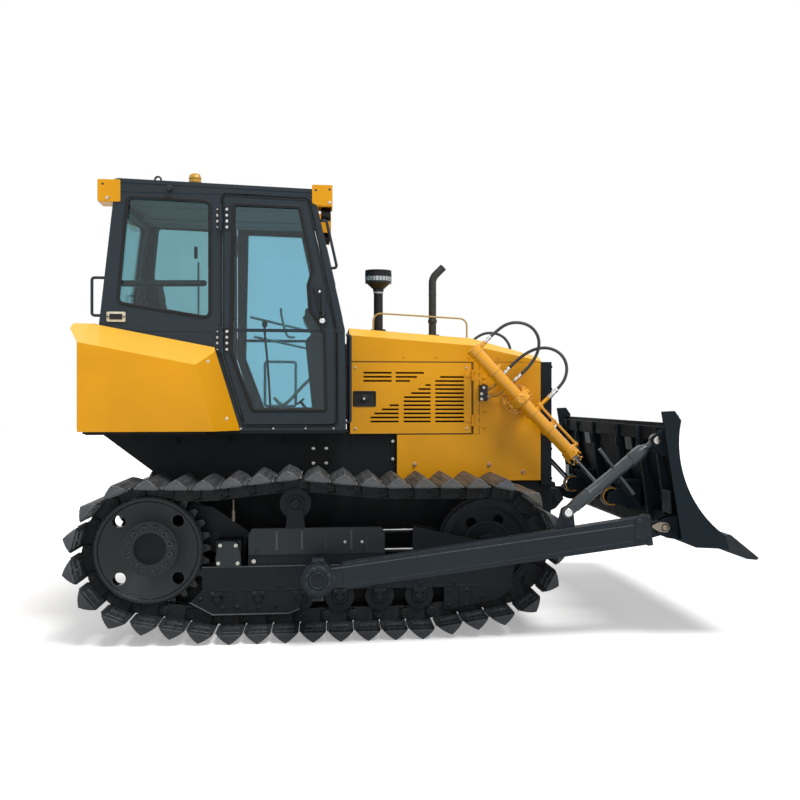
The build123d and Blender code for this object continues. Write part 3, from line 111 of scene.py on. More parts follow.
# ---------------------------------------------------------------- cab
CAB_FACE = 780.0
DOOR_FACE = 790.0
WORK_LAMP = (61, 670, 3118)
SIDE_WINDOW = [(-1420, 3200), (-830, 3180), (-830, 2310), (-1490, 2415)]
DOOR_OUTLINE = [(-739, 3236), (-95, 3216), (112, 2215), (118, 1500), (-577, 1500), (-739, 2035)]
DOOR_WINDOW = [
    (-650, 3160), (-170, 3150), (-68, 2680), (-104, 2560), (-92, 2376), (16, 2205), (30, 1617),
    (-510, 1617), (-672, 2055),
]
# Width and depth of a sewn channel in metres, and the steps in which a pad is stuffed.
SEAM_WIDTH, SEAM_DEPTH = 0.0085, 0.007
STUFFING_STEPS = 20

FILL_SHARE = 0.14  # of the key light's strength

# Each hose of the right lift cylinder, from its fitting on the cylinder to the fixed pipe.
HOSE_ROUTES = {
    "head": [
        (1261.26, -700, 2145.60), (1342.44, -700, 2222.77), (1435, -700, 2293), (1540, -700, 2306),
        (1638, -700, 2270), (1696, -694, 2185), (1696, -676, 2083), (1650, -650, 1990),
        (1583, -626, 1912), (1518, -612, 1853),
    ],
    "rod": [
        (1795, -700, 1735), (1861.35, -700, 1795.80), (1912, -698, 1875), (1922, -692, 1970),
        (1882, -670, 2058), (1795, -642, 2108), (1690, -620, 2105), (1592, -608, 2056),
        (1505, -602, 1983), (1432, -600, 1904),
    ],
}


def at(x, y, z):
    return Vector(((x - MIDDLE_X) * MM, y * MM, z * MM))


# ================================================================ settings
class DozerColours(bpy.types.PropertyGroup):
    """Colours of the paints and materials, as linear values."""

    yellow: FloatVectorProperty(
        name="Yellow", description="Paint of the hood, fenders and lift cylinders",
        subtype="COLOR", size=3, min=0, max=1, default=(0.76, 0.335, 0.004))
    cab: FloatVectorProperty(
        name="Cab", description="Paint of the cab, its doors and its rails",
        subtype="COLOR", size=3, min=0, max=1, default=(0.0195, 0.0300, 0.0395))
    chassis: FloatVectorProperty(
        name="Chassis", description="Paint of the hull, deck and nose",
        subtype="COLOR", size=3, min=0, max=1, default=(0.0090, 0.0120, 0.0140))
    blade: FloatVectorProperty(
        name="Blade", description="Paint of the blade and its arms",
        subtype="COLOR", size=3, min=0, max=1, default=(0.0125, 0.0185, 0.0245))
    gear: FloatVectorProperty(
        name="Running gear", description="Paint of the track frames, wheels and rollers",
        subtype="COLOR", size=3, min=0, max=1, default=(0.0078, 0.0110, 0.0150))
    track: FloatVectorProperty(
        name="Track steel", description="Bare cast steel of the shoes and links",
        subtype="COLOR", size=3, min=0, max=1, default=(0.066, 0.073, 0.081))
    rust: FloatVectorProperty(
        name="Earth", description="Dry earth and rust in the treads",
        subtype="COLOR", size=3, min=0, max=1, default=(0.088, 0.073, 0.058))
    glass: FloatVectorProperty(
        name="Glass", description="Tint of the cab's panes",
        subtype="COLOR", size=3, min=0, max=1, default=(0.41, 0.66, 0.745))


class DozerSizes(bpy.types.PropertyGroup):
    """Sizes of the small parts, in metres, and the count of one kind of bolt."""

    hose: FloatProperty(
        name="Hose", description="Outside diameter of a lift hose",
        subtype="DISTANCE", unit="LENGTH", min=0.01, max=0.06, default=0.025)
    bolt: FloatProperty(
        name="Bolt", description="Distance from a panel bolt's middle to its corners",
        subtype="DISTANCE", unit="LENGTH", min=0.004, max=0.03, default=0.011)
    seal: FloatProperty(
        name="Seal", description="Width of the rubber round each pane",
        subtype="DISTANCE", unit="LENGTH", min=0.008, max=0.06, default=0.026)
    voxel: FloatProperty(
        name="Seat mesh", description="Size of the cushion's mesh before it is inflated",
        subtype="DISTANCE", unit="LENGTH", min=0.004, max=0.02, default=0.007)
    hub_bolts: IntProperty(
        name="Hub bolts", description="Bolts round each sprocket's hub", min=4, max=24, default=12)


class DozerStudio(bpy.types.PropertyGroup):
    """Camera and lamps."""

    place: FloatVectorProperty(
        name="Camera", description="Where the camera stands",
        subtype="TRANSLATION", unit="LENGTH", size=3, default=(-0.6305, -9.475, 1.693))
    toward: FloatVectorProperty(
        name="Direction", description="Which way the camera looks",
        subtype="DIRECTION", size=3, default=(0.1426, 0.9898, 0.0))
    lens: FloatProperty(
        name="Lens", description="Focal length in millimetres on a 36 mm sensor",
        min=20, max=200, default=51.03)
    shift: FloatProperty(
        name="Shift", description="Sideways shift of the lens", min=-0.5, max=0.5, default=-0.10625)
    sky: FloatProperty(
        name="Sky", description="Brightness of the light from all round",
        min=0, max=2, default=0.52)
    sun: FloatProperty(
        name="Key light", description="Strength of the key light", min=0, max=10, default=2.5)


# ================================================================ materials
class Nodes:
    """Short calls that build the node tree of a material or a world."""

    def __init__(self, name, world=False):
        self.owner = (bpy.data.worlds if world else bpy.data.materials).new(name)
        self.owner.use_nodes = True
        self.tree = self.owner.node_tree
        self.tree.nodes.clear()
        self.output = self.tree.nodes.new("ShaderNodeOutput" + ("World" if world else "Material"))

    def add(self, kind, inputs=(), **settings):
        node = self.tree.nodes.new("ShaderNode" + kind)
        for key, value in settings.items():
            setattr(node, key, value)
        for key, value in dict(inputs).items():
            if isinstance(value, bpy.types.NodeSocket):
                self.tree.links.new(value, node.inputs[key])
            else:
                node.inputs[key].default_value = value
        return node

    def place(self):
        return self.add("TexCoord").outputs["Object"]

    def stretched(self, scale):
        return self.add("Mapping", {"Vector": self.place(), "Scale": scale}).outputs["Vector"]

    def noise(self, scale, detail=3.0, rough=0.55, vector=None):
        found = self.add("TexNoise", {
            "Vector": vector or self.place(), "Scale": scale, "Detail": detail, "Roughness": rough})
        return found.outputs["Fac"]

    def ramp(self, value, low, high, start=0.0, end=1.0):
        found = self.add("MapRange", {
            "Value": value, "From Min": low, "From Max": high, "To Min": start, "To Max": end})
        return found.outputs["Result"]

    def math(self, operation, a, b=0.0):
        node = self.add("Math", {0: a, 1: b}, operation=operation)
        return node.outputs[0]

    def mix(self, factor, a, b):
        node = self.tree.nodes.new("ShaderNodeMix")
        node.data_type = "RGBA"
        for index, value in ((0, factor), (6, a), (7, b)):
            if isinstance(value, bpy.types.NodeSocket):
                self.tree.links.new(value, node.inputs[index])
            else:
                node.inputs[index].default_value = value
        return node.outputs[2]

    def facing(self, axis):
        normal = self.add("NewGeometry").outputs["Normal"]
        return self.add("SeparateXYZ", {"Vector": normal}).outputs[axis]

    def bump(self, height, strength, distance, normal=None):
        inputs = {"Height": height, "Strength": strength, "Distance": distance}
        if normal is not None:
            inputs["Normal"] = normal
        return self.add("Bump", inputs).outputs["Normal"]

    def shader(self, **inputs):
        node = self.add("BsdfPrincipled")
        for key, value in inputs.items():
            socket = node.inputs[key.replace("_", " ")]
            if isinstance(value, bpy.types.NodeSocket):
                self.tree.links.new(value, socket)
            else:
                socket.default_value = value
        return node.outputs[0]

    def finish(self, shader):
        self.tree.links.new(shader, self.output.inputs["Surface"])
        return self.owner


def opaque(colour, share=1.0):
    return (*[min(1.0, part * share) for part in colour], 1.0)


def edge_wear_and_highlight(nodes, radius, scale=21):
    """How far a place on an edge is rubbed and given a painted highlight, and the normal that
    rounds that edge.
    """
    round_normal = nodes.add("Bevel", {"Radius": radius}, samples=4).outputs["Normal"]
    geometry = nodes.add("NewGeometry").outputs["Normal"]
    along = nodes.add("VectorMath", {0: round_normal, 1: geometry}, operation="DOT_PRODUCT")
    broken = nodes.ramp(nodes.noise(scale, 4, 0.7), 0.38, 0.60)
    on_edge = nodes.ramp(along.outputs["Value"], 0.995, 0.80)
    return nodes.math("MULTIPLY", on_edge, broken), round_normal


def coated(name, colour, rough=0.42, specular=0.35, grime=0.3, edge=0.5, coat=0.0, dirt=None,
           edge_wear_and_highlight_colour=None, radius=0.004, rear=1.0, top=None):
    """Sprayed paint: soft blotches, a fine skin, dust on top faces and edges rubbed bright with a
    painted highlight.

    top is a paler colour for faces that look up, as painted light; rear a darker share for those
    that look back, as painted shade.
    """
    nodes = Nodes(name)
    broad = nodes.ramp(nodes.noise(1.7, 2), 0.35, 0.65)
    body = nodes.mix(broad, opaque(colour, 0.93), opaque(colour, 1.06))
    streaks = nodes.ramp(nodes.noise(2.2, 4, 0.6, nodes.stretched((5, 5, 0.7))), 0.52, 0.78)
    body = nodes.mix(nodes.math("MULTIPLY", streaks, 0.35 * grime), body, opaque(colour, 0.6))
    specks = nodes.ramp(nodes.noise(38, 5, 0.7), 0.56, 0.72)
    up = nodes.ramp(nodes.facing("Z"), 0.2, 1.0)
    dust = nodes.math("MULTIPLY", nodes.math("MULTIPLY", specks, up), grime)
    body = nodes.mix(dust, body, opaque(dirt or (0.30, 0.27, 0.22)))
    # Painted light: faces that look up are paled toward the top colour.
    if top:
        painted_top_light = nodes.math("MULTIPLY", nodes.ramp(nodes.facing("Z"), 0.3, 0.85), 0.45)
        body = nodes.mix(painted_top_light, body, opaque(top))
    # Painted shade: faces that look back are darkened by the rear share.
    if rear < 1.0:
        behind = nodes.ramp(nodes.facing("X"), -0.15, -0.45)
        body = nodes.mix(behind, body, opaque(colour, rear))
    # Painted highlight with some wear: edges are mixed toward a brighter colour.
    rim, round_normal = edge_wear_and_highlight(nodes, radius)
    rim = nodes.math("MULTIPLY", rim, edge)
    bright = edge_wear_and_highlight_colour or tuple(min(1.0, part * 1.8 + 0.03) for part in colour)
    body = nodes.mix(rim, body, opaque(bright))
    roughness = nodes.ramp(nodes.noise(9, 4), 0.3, 0.7, rough - 0.05, rough + 0.09)
    normal = nodes.bump(nodes.noise(260, 2), 0.05, 0.0006, round_normal)
    return nodes.finish(nodes.shader(
        Base_Color=body, Roughness=roughness, Normal=normal, Specular_IOR_Level=specular,
        Coat_Weight=coat, Coat_Roughness=0.18))


def worked_steel(name, colour, other, rough=0.45, metallic=0.75, stretch=(3, 0.4, 3), scale=9.0,
                 share=0.5, bump=0.25, edge=0.35, rim_wear_and_highlight_colour=(0.16, 0.165, 0.16)):
    """Cast or rolled steel with streaks of another tone along its length."""
    nodes = Nodes(name)
    streak = nodes.ramp(nodes.noise(scale, 6, 0.65, nodes.stretched(stretch)), 0.42, 0.66)
    patch = nodes.ramp(nodes.noise(2.3, 3), 0.35, 0.68)
    amount = nodes.math("MULTIPLY", nodes.math("MULTIPLY", streak, patch), share)
    mottled = nodes.ramp(nodes.noise(30, 4), 0.3, 0.7)
    body = nodes.mix(mottled, opaque(colour, 0.75), opaque(colour, 1.2))
    body = nodes.mix(amount, body, opaque(other))
    # Edges rubbed and given a painted highlight in the rim colour.
    rim, round_normal = edge_wear_and_highlight(nodes, 0.003, 34)
    body = nodes.mix(nodes.math("MULTIPLY", rim, edge), body, opaque(rim_wear_and_highlight_colour))
    height = nodes.noise(70, 5, 0.6, nodes.stretched(stretch))
    normal = nodes.bump(height, bump, 0.002, round_normal)
    roughness = nodes.ramp(streak, 0, 1, rough, min(0.95, rough + 0.25))
    return nodes.finish(nodes.shader(
        Base_Color=body, Metallic=metallic, Roughness=roughness, Normal=normal,
        Specular_IOR_Level=0.3))


def tread(name, colour, earth):
    """Cast shoes: streaks along the ridge, dry earth toward the front, edges rubbed bright with a
    painted highlight that grows higher up, painted light on the end faces and painted shade low
    down.
    """
    nodes = Nodes(name)
    place = nodes.add("SeparateXYZ", {"Vector": nodes.place()})
    streaks_and_end_light = nodes.ramp(nodes.noise(12, 4, 0.6, nodes.stretched((3.2, 0.14, 3.2))), 0.40, 0.60)
    # Painted light: faces that look along the track are brightened on top of the streaks.
    painted_end_light = nodes.ramp(nodes.math("ABSOLUTE", nodes.facing("Y")), 0.5, 0.8)
    streaks_and_end_light = nodes.math("MAXIMUM", streaks_and_end_light, nodes.math("MULTIPLY", painted_end_light, 0.75))
    body = nodes.mix(streaks_and_end_light, opaque(colour, 0.38), opaque(colour, 1.3))
    # Painted shade: the shoes grow darker toward the bottom, on the lower run.
    low = nodes.ramp(place.outputs["Z"], 0.8, 0.3, 0.0, 0.6)
    body = nodes.mix(low, body, opaque(colour, 0.2))
    patch = nodes.ramp(nodes.noise(3.5, 3), 0.36, 0.62)
    forward = nodes.ramp(place.outputs["X"], -0.35, 0.75, 0.15, 0.8)
    high = nodes.ramp(place.outputs["Z"], 0.75, 0.95)
    dry = nodes.math("MULTIPLY", nodes.math("MULTIPLY", patch, forward), high)
    body = nodes.mix(dry, body, opaque(earth))
    # Painted highlight with some wear: edges are brightened toward pale grey, more so higher up.
    rim, round_normal = edge_wear_and_highlight(nodes, 0.007, 26)
    top = nodes.math("MULTIPLY", rim, nodes.ramp(place.outputs["Z"], 0.3, 0.9, 0.15, 0.9))
    body = nodes.mix(top, body, (0.42, 0.43, 0.40, 1))
    cast = nodes.noise(55, 5, 0.65, nodes.stretched((3, 0.5, 3)))
    return nodes.finish(nodes.shader(
        Base_Color=body, Metallic=0.25, Roughness=nodes.ramp(streaks_and_end_light, 0, 1, 0.62, 0.42),
        Normal=nodes.bump(cast, 0.18, 0.002, round_normal), Specular_IOR_Level=0.3))


def plain_metal(name, colour, rough, scale=120.0, metallic=1.0):
    """Turned or plated metal with fine brushing."""
    nodes = Nodes(name)
    fine = nodes.noise(scale, 4, 0.6, nodes.stretched((1, 1, 6)))
    mottled = nodes.ramp(nodes.noise(14, 3), 0.3, 0.7)
    body = nodes.mix(mottled, opaque(colour, 0.86), opaque(colour, 1.08))
    roughness = nodes.ramp(fine, 0.3, 0.7, max(0.04, rough - 0.06), rough + 0.1)
    return nodes.finish(nodes.shader(
        Base_Color=body, Metallic=metallic, Roughness=roughness,
        Normal=nodes.bump(fine, 0.06, 0.0006)))


def rubber(name, colour, rough=0.55, scale=160.0, bump=0.2):
    """Rubber or moulded plastic with a fine grain."""
    nodes = Nodes(name)
    grain = nodes.noise(scale, 3, 0.6)
    mottled = nodes.ramp(nodes.noise(6, 4), 0.35, 0.7)
    body = nodes.mix(mottled, opaque(colour, 0.8), opaque(colour, 1.35))
    roughness = nodes.ramp(nodes.noise(18, 3), 0.3, 0.7, rough - 0.08, rough + 0.1)
    return nodes.finish(nodes.shader(
        Base_Color=body, Roughness=roughness, Normal=nodes.bump(grain, bump, 0.0006),
        Specular_IOR_Level=0.3))


def woven(name, colour):
    """Seat cloth: crossed threads and a soft sheen."""
    nodes = Nodes(name)
    waves = [
        nodes.add("TexWave", {"Vector": nodes.place(), "Scale": 130.0, "Distortion": 0.6},
                  bands_direction=axis).outputs["Fac"]
        for axis in ("Y", "DIAGONAL")
    ]
    thread = nodes.math("MULTIPLY", *waves)
    body = nodes.mix(thread, opaque(colour, 0.6), opaque(colour, 1.6))
    return nodes.finish(nodes.shader(
        Base_Color=body, Roughness=nodes.ramp(thread, 0, 1, 0.95, 0.8),
        Normal=nodes.bump(thread, 0.35, 0.0012), Sheen_Weight=0.3))


def pane(name, colour):
    """Tinted glass that lets lamps through."""
    nodes = Nodes(name)
    smear = nodes.ramp(nodes.noise(5, 4), 0.4, 0.75, 0.02, 0.06)
    tint = nodes.mix(nodes.noise(1.3, 2), opaque(colour, 0.94), opaque(colour, 1.04))
    glass = nodes.shader(Base_Color=tint, Roughness=smear, Transmission_Weight=1.0, IOR=1.45)
    clear = nodes.add("BsdfTransparent", {"Color": opaque(colour, 1.1)}).outputs[0]
    shadow = nodes.add("LightPath").outputs["Is Shadow Ray"]
    mixed = nodes.add("MixShader", {0: shadow, 1: glass, 2: clear})
    return nodes.finish(mixed.outputs[0])


def two_part(name, colour_a, colour_b, split_x, rough):
    """Paint that changes at one place along the machine, for a block and the pipes from it."""
    nodes = Nodes(name)
    x = nodes.add("SeparateXYZ", {"Vector": nodes.place()}).outputs["X"]
    side = nodes.math("GREATER_THAN", x, split_x)
    shade = nodes.ramp(nodes.noise(25, 4), 0.3, 0.7, 0.0, 0.35)
    body = nodes.mix(side, opaque(colour_a), opaque(colour_b))
    body = nodes.mix(shade, body, (0.02, 0.018, 0.015, 1))
    return nodes.finish(nodes.shader(
        Base_Color=body, Roughness=nodes.ramp(nodes.noise(40), 0, 1, rough, rough + 0.15),
        Specular_IOR_Level=0.4))


def rod_and_eye(name, paint):
    """Chrome that gives way to paint round the rod's eye."""
    nodes = Nodes(name)
    place = nodes.add("SeparateXYZ", {"Vector": nodes.place()})
    centre = at(ROD_EYE[0], 0, ROD_EYE[1])
    dx = nodes.math("SUBTRACT", place.outputs["X"], centre.x)
    dz = nodes.math("SUBTRACT", place.outputs["Z"], centre.z)
    away = nodes.math("SQRT", nodes.math(
        "ADD", nodes.math("MULTIPLY", dx, dx), nodes.math("MULTIPLY", dz, dz)))
    painted = nodes.math("LESS_THAN", away, ROD_EYE_RIM)
    grain = nodes.noise(150, 3, 0.6, nodes.stretched((1, 4, 1)))
    steel = nodes.mix(grain, (0.20, 0.225, 0.25, 1), (0.32, 0.35, 0.38, 1))
    worn = nodes.mix(nodes.ramp(nodes.noise(18, 4), 0.4, 0.7), opaque(paint), opaque(paint, 0.7))
    shaded = nodes.math("GREATER_THAN", away, ROD_EYE_FACE)
    worn = nodes.mix(shaded, worn, (0.008, 0.008, 0.009, 1))
    return nodes.finish(nodes.shader(
        Base_Color=nodes.mix(painted, steel, worn),
        Metallic=nodes.ramp(painted, 0, 1, 1, 0),
        Roughness=nodes.ramp(painted, 0, 1, 0.16, 0.45)))


def glowing(name, colour, glow, rough=0.15):
    """A lamp's lens: coloured plastic with a moulded ripple."""
    nodes = Nodes(name)
    ripple = nodes.add("TexWave", {"Vector": nodes.place(), "Scale": 55.0}).outputs["Fac"]
    body = nodes.mix(ripple, opaque(colour, 0.75), opaque(colour, 1.15))
    return nodes.finish(nodes.shader(
        Base_Color=body, Roughness=nodes.ramp(ripple, 0, 1, rough, rough + 0.1),
        Normal=nodes.bump(ripple, 0.25, 0.002),
        Emission_Color=opaque(colour), Emission_Strength=glow))


def finish_of(name):
    """The material of that name, made the first time it is asked for."""
    title = f"{name}_finish"
    if title in bpy.data.materials:
        return bpy.data.materials[title]
    c = bpy.context.scene.dozer_colours
    # Colour of rubbed steel edges, brightened as painted highlight.
    steel_edge_wear_and_highlight = (0.22, 0.235, 0.25)
    makers = {
        # Faces that look up are paled toward a lighter yellow as painted light from above.
        "yellow_paint": lambda: coated(
            title, c.yellow, rough=0.34, specular=0.2, grime=0.10, edge=0.35, coat=0.12,
            top=(0.95, 0.62, 0.10)),
        "cylinder_paint": lambda: coated(
            title, c.yellow, rough=0.24, specular=0.35, grime=0.15, edge=0.5, coat=0.6,
            edge_wear_and_highlight_colour=(0.95, 0.72, 0.25)),
        "cab_paint": lambda: coated(
            title, c.cab, rough=0.40, specular=0.22, grime=0.12, edge=0.35, coat=0.08),
        "chassis_paint": lambda: coated(
            title, c.chassis, rough=0.5, specular=0.16, grime=0.3, edge=0.3),
        "blade_paint": lambda: coated(
            title, c.blade, rough=0.42, specular=0.2, grime=0.25, edge=0.6,
            edge_wear_and_highlight_colour=steel_edge_wear_and_highlight),
        # Faces that look back are darkened to 0.3 as painted shade on the blade's back.
        "mould_paint": lambda: coated(
            title, c.blade, rough=0.62, specular=0.05, grime=0.12, edge=0.45,
            edge_wear_and_highlight_colour=(0.09, 0.10, 0.105), rear=0.3),
        "brace_paint": lambda: coated(
            title, (0.024, 0.036, 0.044), rough=0.3, specular=0.4, grime=0.15, edge=0.7,
            coat=0.3, edge_wear_and_highlight_colour=(0.20, 0.23, 0.24)),
        # The bright edge colour paints highlight glints on the tooth tips, along with wear.
        "sprocket_paint": lambda: coated(
            title, c.gear, rough=0.32, specular=0.4, grime=0.3, edge=0.9,
            edge_wear_and_highlight_colour=(0.40, 0.42, 0.42)),
        "cover_paint": lambda: coated(
            title, (0.016, 0.024, 0.030), rough=0.36, specular=0.35, grime=0.4, edge=0.8,
            edge_wear_and_highlight_colour=(0.20, 0.21, 0.21)),
        "fixed_glass": lambda: pane(title, (0.37, 0.58, 0.62)),
        "edge_steel": lambda: worked_steel(
            title, (0.022, 0.026, 0.030), (0.04, 0.04, 0.038), rough=0.4, metallic=0.4,
            stretch=(0.4, 3, 3), rim_wear_and_highlight_colour=steel_edge_wear_and_highlight),
        "running_gear_paint": lambda: coated(
            title, c.gear, rough=0.44, specular=0.2, grime=0.4, edge=0.6,
            edge_wear_and_highlight_colour=(0.15, 0.16, 0.17), dirt=c.rust),
        # Lighter paint whose pale edges are painted highlight, with some rubbing.
        "rubbed_highlight_paint": lambda: coated(
            title, (0.060, 0.070, 0.080), rough=0.34, specular=0.4, grime=0.3, edge=0.8,
            edge_wear_and_highlight_colour=(0.42, 0.43, 0.42)),
        "inner_steel": lambda: coated(
            title, (0.50, 0.56, 0.56), rough=0.4, specular=0.3, grime=0.2, edge=0.3),
        "lining_cloth": lambda: woven(title, (0.42, 0.44, 0.44)),
        "track_steel": lambda: tread(title, c.track, c.rust),
        "link_steel": lambda: worked_steel(
            title, (0.02, 0.023, 0.026), (0.05, 0.045, 0.04), rough=0.5, metallic=0.5),
        "bright_steel": lambda: worked_steel(
            title, (0.10, 0.105, 0.11), (0.05, 0.045, 0.04), rough=0.4, metallic=0.8,
            stretch=(0.4, 3, 3)),
        "chrome": lambda: rod_and_eye(title, c.yellow),
        "polished": lambda: plain_metal(title, (0.75, 0.76, 0.76), rough=0.14),
        "zinc": lambda: plain_metal(title, (0.62, 0.60, 0.55), rough=0.3),
        "rail_gold": lambda: coated(
            title, (0.44, 0.30, 0.075), rough=0.35, specular=0.4, grime=0.25, edge=0.5),
        "exhaust_steel": lambda: worked_steel(
            title, (0.050, 0.053, 0.050), (0.085, 0.070, 0.050), rough=0.55, metallic=0.6,
            stretch=(1, 1, 1), scale=14, share=0.5),
        "glass": lambda: pane(title, c.glass),
        "hose_rubber": lambda: rubber(
            title, (0.046, 0.053, 0.056), rough=0.42, scale=220, bump=0.15),
        "seal_rubber": lambda: rubber(title, (0.006, 0.007, 0.008), rough=0.5),
        "seat_fabric": lambda: woven(title, (0.016, 0.016, 0.018)),
        "black_plastic": lambda: rubber(title, (0.010, 0.011, 0.012), rough=0.45),
        "cream_plastic": lambda: rubber(title, (0.55, 0.52, 0.40), rough=0.4),
        "clear_band": lambda: plain_metal(
            title, (0.50, 0.53, 0.55), rough=0.18, scale=60, metallic=0.4),
        "amber_plastic": lambda: glowing(title, (0.62, 0.33, 0.02), glow=0.03, rough=0.08),
        "lamp_plastic": lambda: rubber(title, (0.014, 0.013, 0.012), rough=0.35),
        "lamp_lens": lambda: glowing(title, (0.70, 0.72, 0.74), glow=0.1, rough=0.1),
        "pipe_and_block": lambda: two_part(
            title, (0.006, 0.006, 0.007), (0.42, 0.23, 0.03),
            split_x=(PIPE_START - MIDDLE_X) * MM, rough=0.35),
        "keeper_plate": lambda: worked_steel(
            title, (0.30, 0.25, 0.20), (0.15, 0.10, 0.07), rough=0.45, metallic=0.5,
            stretch=(1, 1, 1), scale=40, share=0.6),
        "rusty_bolt": lambda: plain_metal(
            title, (0.46, 0.28, 0.17), rough=0.4, scale=120, metallic=0.5),
    }
    return makers[name]()


# ================================================================ mesh making
class Maker:
    """One mesh in the making. Places come in millimetres; finish is the index of the material."""

    def __init__(self):
        self.mesh = bmesh.new()
        self.finish = 0

    def face(self, corners):
        made = self.mesh.faces.new(corners)
        made.material_index = self.finish
        made.smooth = True

    def loft(self, rings, loop=False):
        """Skin over rings of as many places each; loop joins the last ring to the first."""
        rows = [[self.mesh.verts.new(at(*place)) for place in ring] for ring in rings]
        for low, high in zip(rows, rows[1:] + rows[:1] if loop else rows[1:]):
            for i in range(len(low)):
                j = (i + 1) % len(low)
                self.face((low[i], low[j], high[j], high[i]))
        if not loop:
            self.face(rows[0])
            self.face(rows[-1])
        return self

    def slab(self, outline, y0, y1):
        """A plate with an outline of (x, z) places, from y0 to y1."""
        return self.loft([[(x, y, z) for x, z in outline] for y in (y0, y1)])

    def block(self, x, y, z):
        """A block between pairs of x, y and z."""
        return self.slab([(x[0], z[0]), (x[1], z[0]), (x[1], z[1]), (x[0], z[1])], *y)

    def spin(self, profile, centre, axis, sides=28, loop=False):
        """A profile of (distance along the axis, radius) turned round the axis."""
        centre, axis = Vector(centre), Vector(axis).normalized()
        across = axis.orthogonal().normalized()
        other = axis.cross(across)
        rings = []
        for along, radius in profile:
            turns = [2 * math.pi * (k + 0.5) / sides for k in range(sides)]
            rings.append([
                tuple(centre + axis * along + (across * math.cos(t) + other * math.sin(t)) * radius)
                for t in turns
            ])
        return self.loft(rings, loop)

    def washer(self, centre, axis, outer, inner, thick):
        """A flat ring that lies on a surface, its edges eased."""
        ease = min(thick, outer - inner) * 0.25
        return self.spin([
            (-1, inner), (thick - ease, inner), (thick, inner + ease), (thick, outer - ease),
            (thick - ease, outer), (-1, outer),
        ], centre, axis, 36, loop=True)

    def bolt(self, centre, axis, size=11.0, washer=True):
        """A hexagon head on a washer, standing on the surface at centre."""
        seat = 0.25 * size if washer else 0.0
        if washer:
            self.spin([(-1, 1.5 * size), (seat * 0.7, 1.5 * size), (seat, 1.38 * size)],
                      centre, axis, 16)
        top = seat + 0.9 * size
        self.spin([(-1, size), (top - 0.16 * size, size), (top, 0.84 * size)], centre, axis, 6)
        return self

    def socket(self, centre, axis, size):
        """A cap screw with a round head and a deep socket."""
        return self.spin([
            (-1, size), (0.75 * size, size), (0.9 * size, 0.86 * size), (0.9 * size, 0.58 * size),
            (0.25 * size, 0.5 * size),
        ], centre, axis, 16)

    def tube(self, line, radius, sides=12):
        """A round bar along a line of places; radius is one number or one for each place."""
        line = [Vector(place) for place in line]
        radii = radius if isinstance(radius, list) else [radius] * len(line)
        normal, rings = None, []
        for i, place in enumerate(line):
            ahead = (line[min(i + 1, len(line) - 1)] - line[max(i - 1, 0)]).normalized()
            if normal is None:
                normal = ahead.orthogonal()
            normal = (normal - ahead * normal.dot(ahead)).normalized()
            other = ahead.cross(normal)
            rings.append([
                tuple(place + (normal * math.cos(t) + other * math.sin(t)) * radii[i])
                for t in (2 * math.pi * k / sides for k in range(sides))
            ])
        return self.loft(rings)

    def weld(self, start, end, radius=5.0, ripple=14.0):
        """A welded bead: short overlapping swells in a row."""
        start, end = Vector(start), Vector(end)
        count = max(3, int((end - start).length / ripple) * 2)
        line = [start.lerp(end, i / count) for i in range(count + 1)]
        radii = [radius * (1.0 if i % 2 else 0.82) for i in range(count + 1)]
        return self.tube(line, radii, 8)

    def seal(self, line, out, width, height):
        """A rounded strip that lies round a closed line of places and stands proud of them."""
        line, out = [Vector(place) for place in line], Vector(out).normalized()
        section = [(-0.5, -0.3), (-0.5, 0.6), (-0.28, 1.0), (0.28, 1.0), (0.5, 0.6), (0.5, -0.3)]
        rings = []
        for i, place in enumerate(line):
            along = (line[(i + 1) % len(line)] - line[i - 1]).normalized()
            side = out.cross(along)
            rings.append([tuple(place + side * s * width + out * h * height) for s, h in section])
        return self.loft(rings, loop=True)

    def mirror(self, keep=True):
        """The same on the machine's other side, beside what is there or in its place."""
        verts = self.mesh.verts[:]
        if keep:
            geometry = verts + self.mesh.edges[:] + self.mesh.faces[:]
            copied = bmesh.ops.duplicate(self.mesh, geom=geometry)["geom"]
            verts = [part for part in copied if isinstance(part, bmesh.types.BMVert)]
        for vert in verts:
            vert.co.y = -vert.co.y
        return self

    def on(self, side):
        """The same, on the machine's left side where that is the one asked for."""
        return self.mirror(keep=False) if side == LEFT else self

    def copy(self):
        """A second maker that starts with what is there."""
        other = Maker()
        other.mesh = self.mesh.copy()
        return other

    def to_mesh(self, name, finishes=()):
        mesh = bpy.data.meshes.new(name)
        bmesh.ops.recalc_face_normals(self.mesh, faces=self.mesh.faces)
        self.mesh.to_mesh(mesh)
        self.mesh.free()
        for finish in finishes:
            mesh.materials.append(finish_of(finish))
        return mesh

    def done(self, name, body, finishes, bevel=0.0, smooth=38, replaces=(), slot=None):
        """The finished piece, riding on its body."""
        mesh = self.to_mesh(name, finishes)
        mesh.set_sharp_from_angle(angle=math.radians(smooth))
        piece = bpy.data.objects.new(name, mesh)
        bpy.context.scene.collection.objects.link(piece)
        if bevel:
            ease = piece.modifiers.new("eased edges", "BEVEL")
            ease.width, ease.segments = bevel * MM, 2
            ease.limit_method, ease.angle_limit = "ANGLE", math.radians(40)
            ease.harden_normals = True
        if body:
            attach(piece, body)
        if replaces:
            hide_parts(*replaces)
        return piece


def shaped_mesh(piece):
    """The piece's mesh with its modifiers worked into it."""
    return bpy.data.meshes.new_from_object(
        piece.evaluated_get(bpy.context.evaluated_depsgraph_get()))


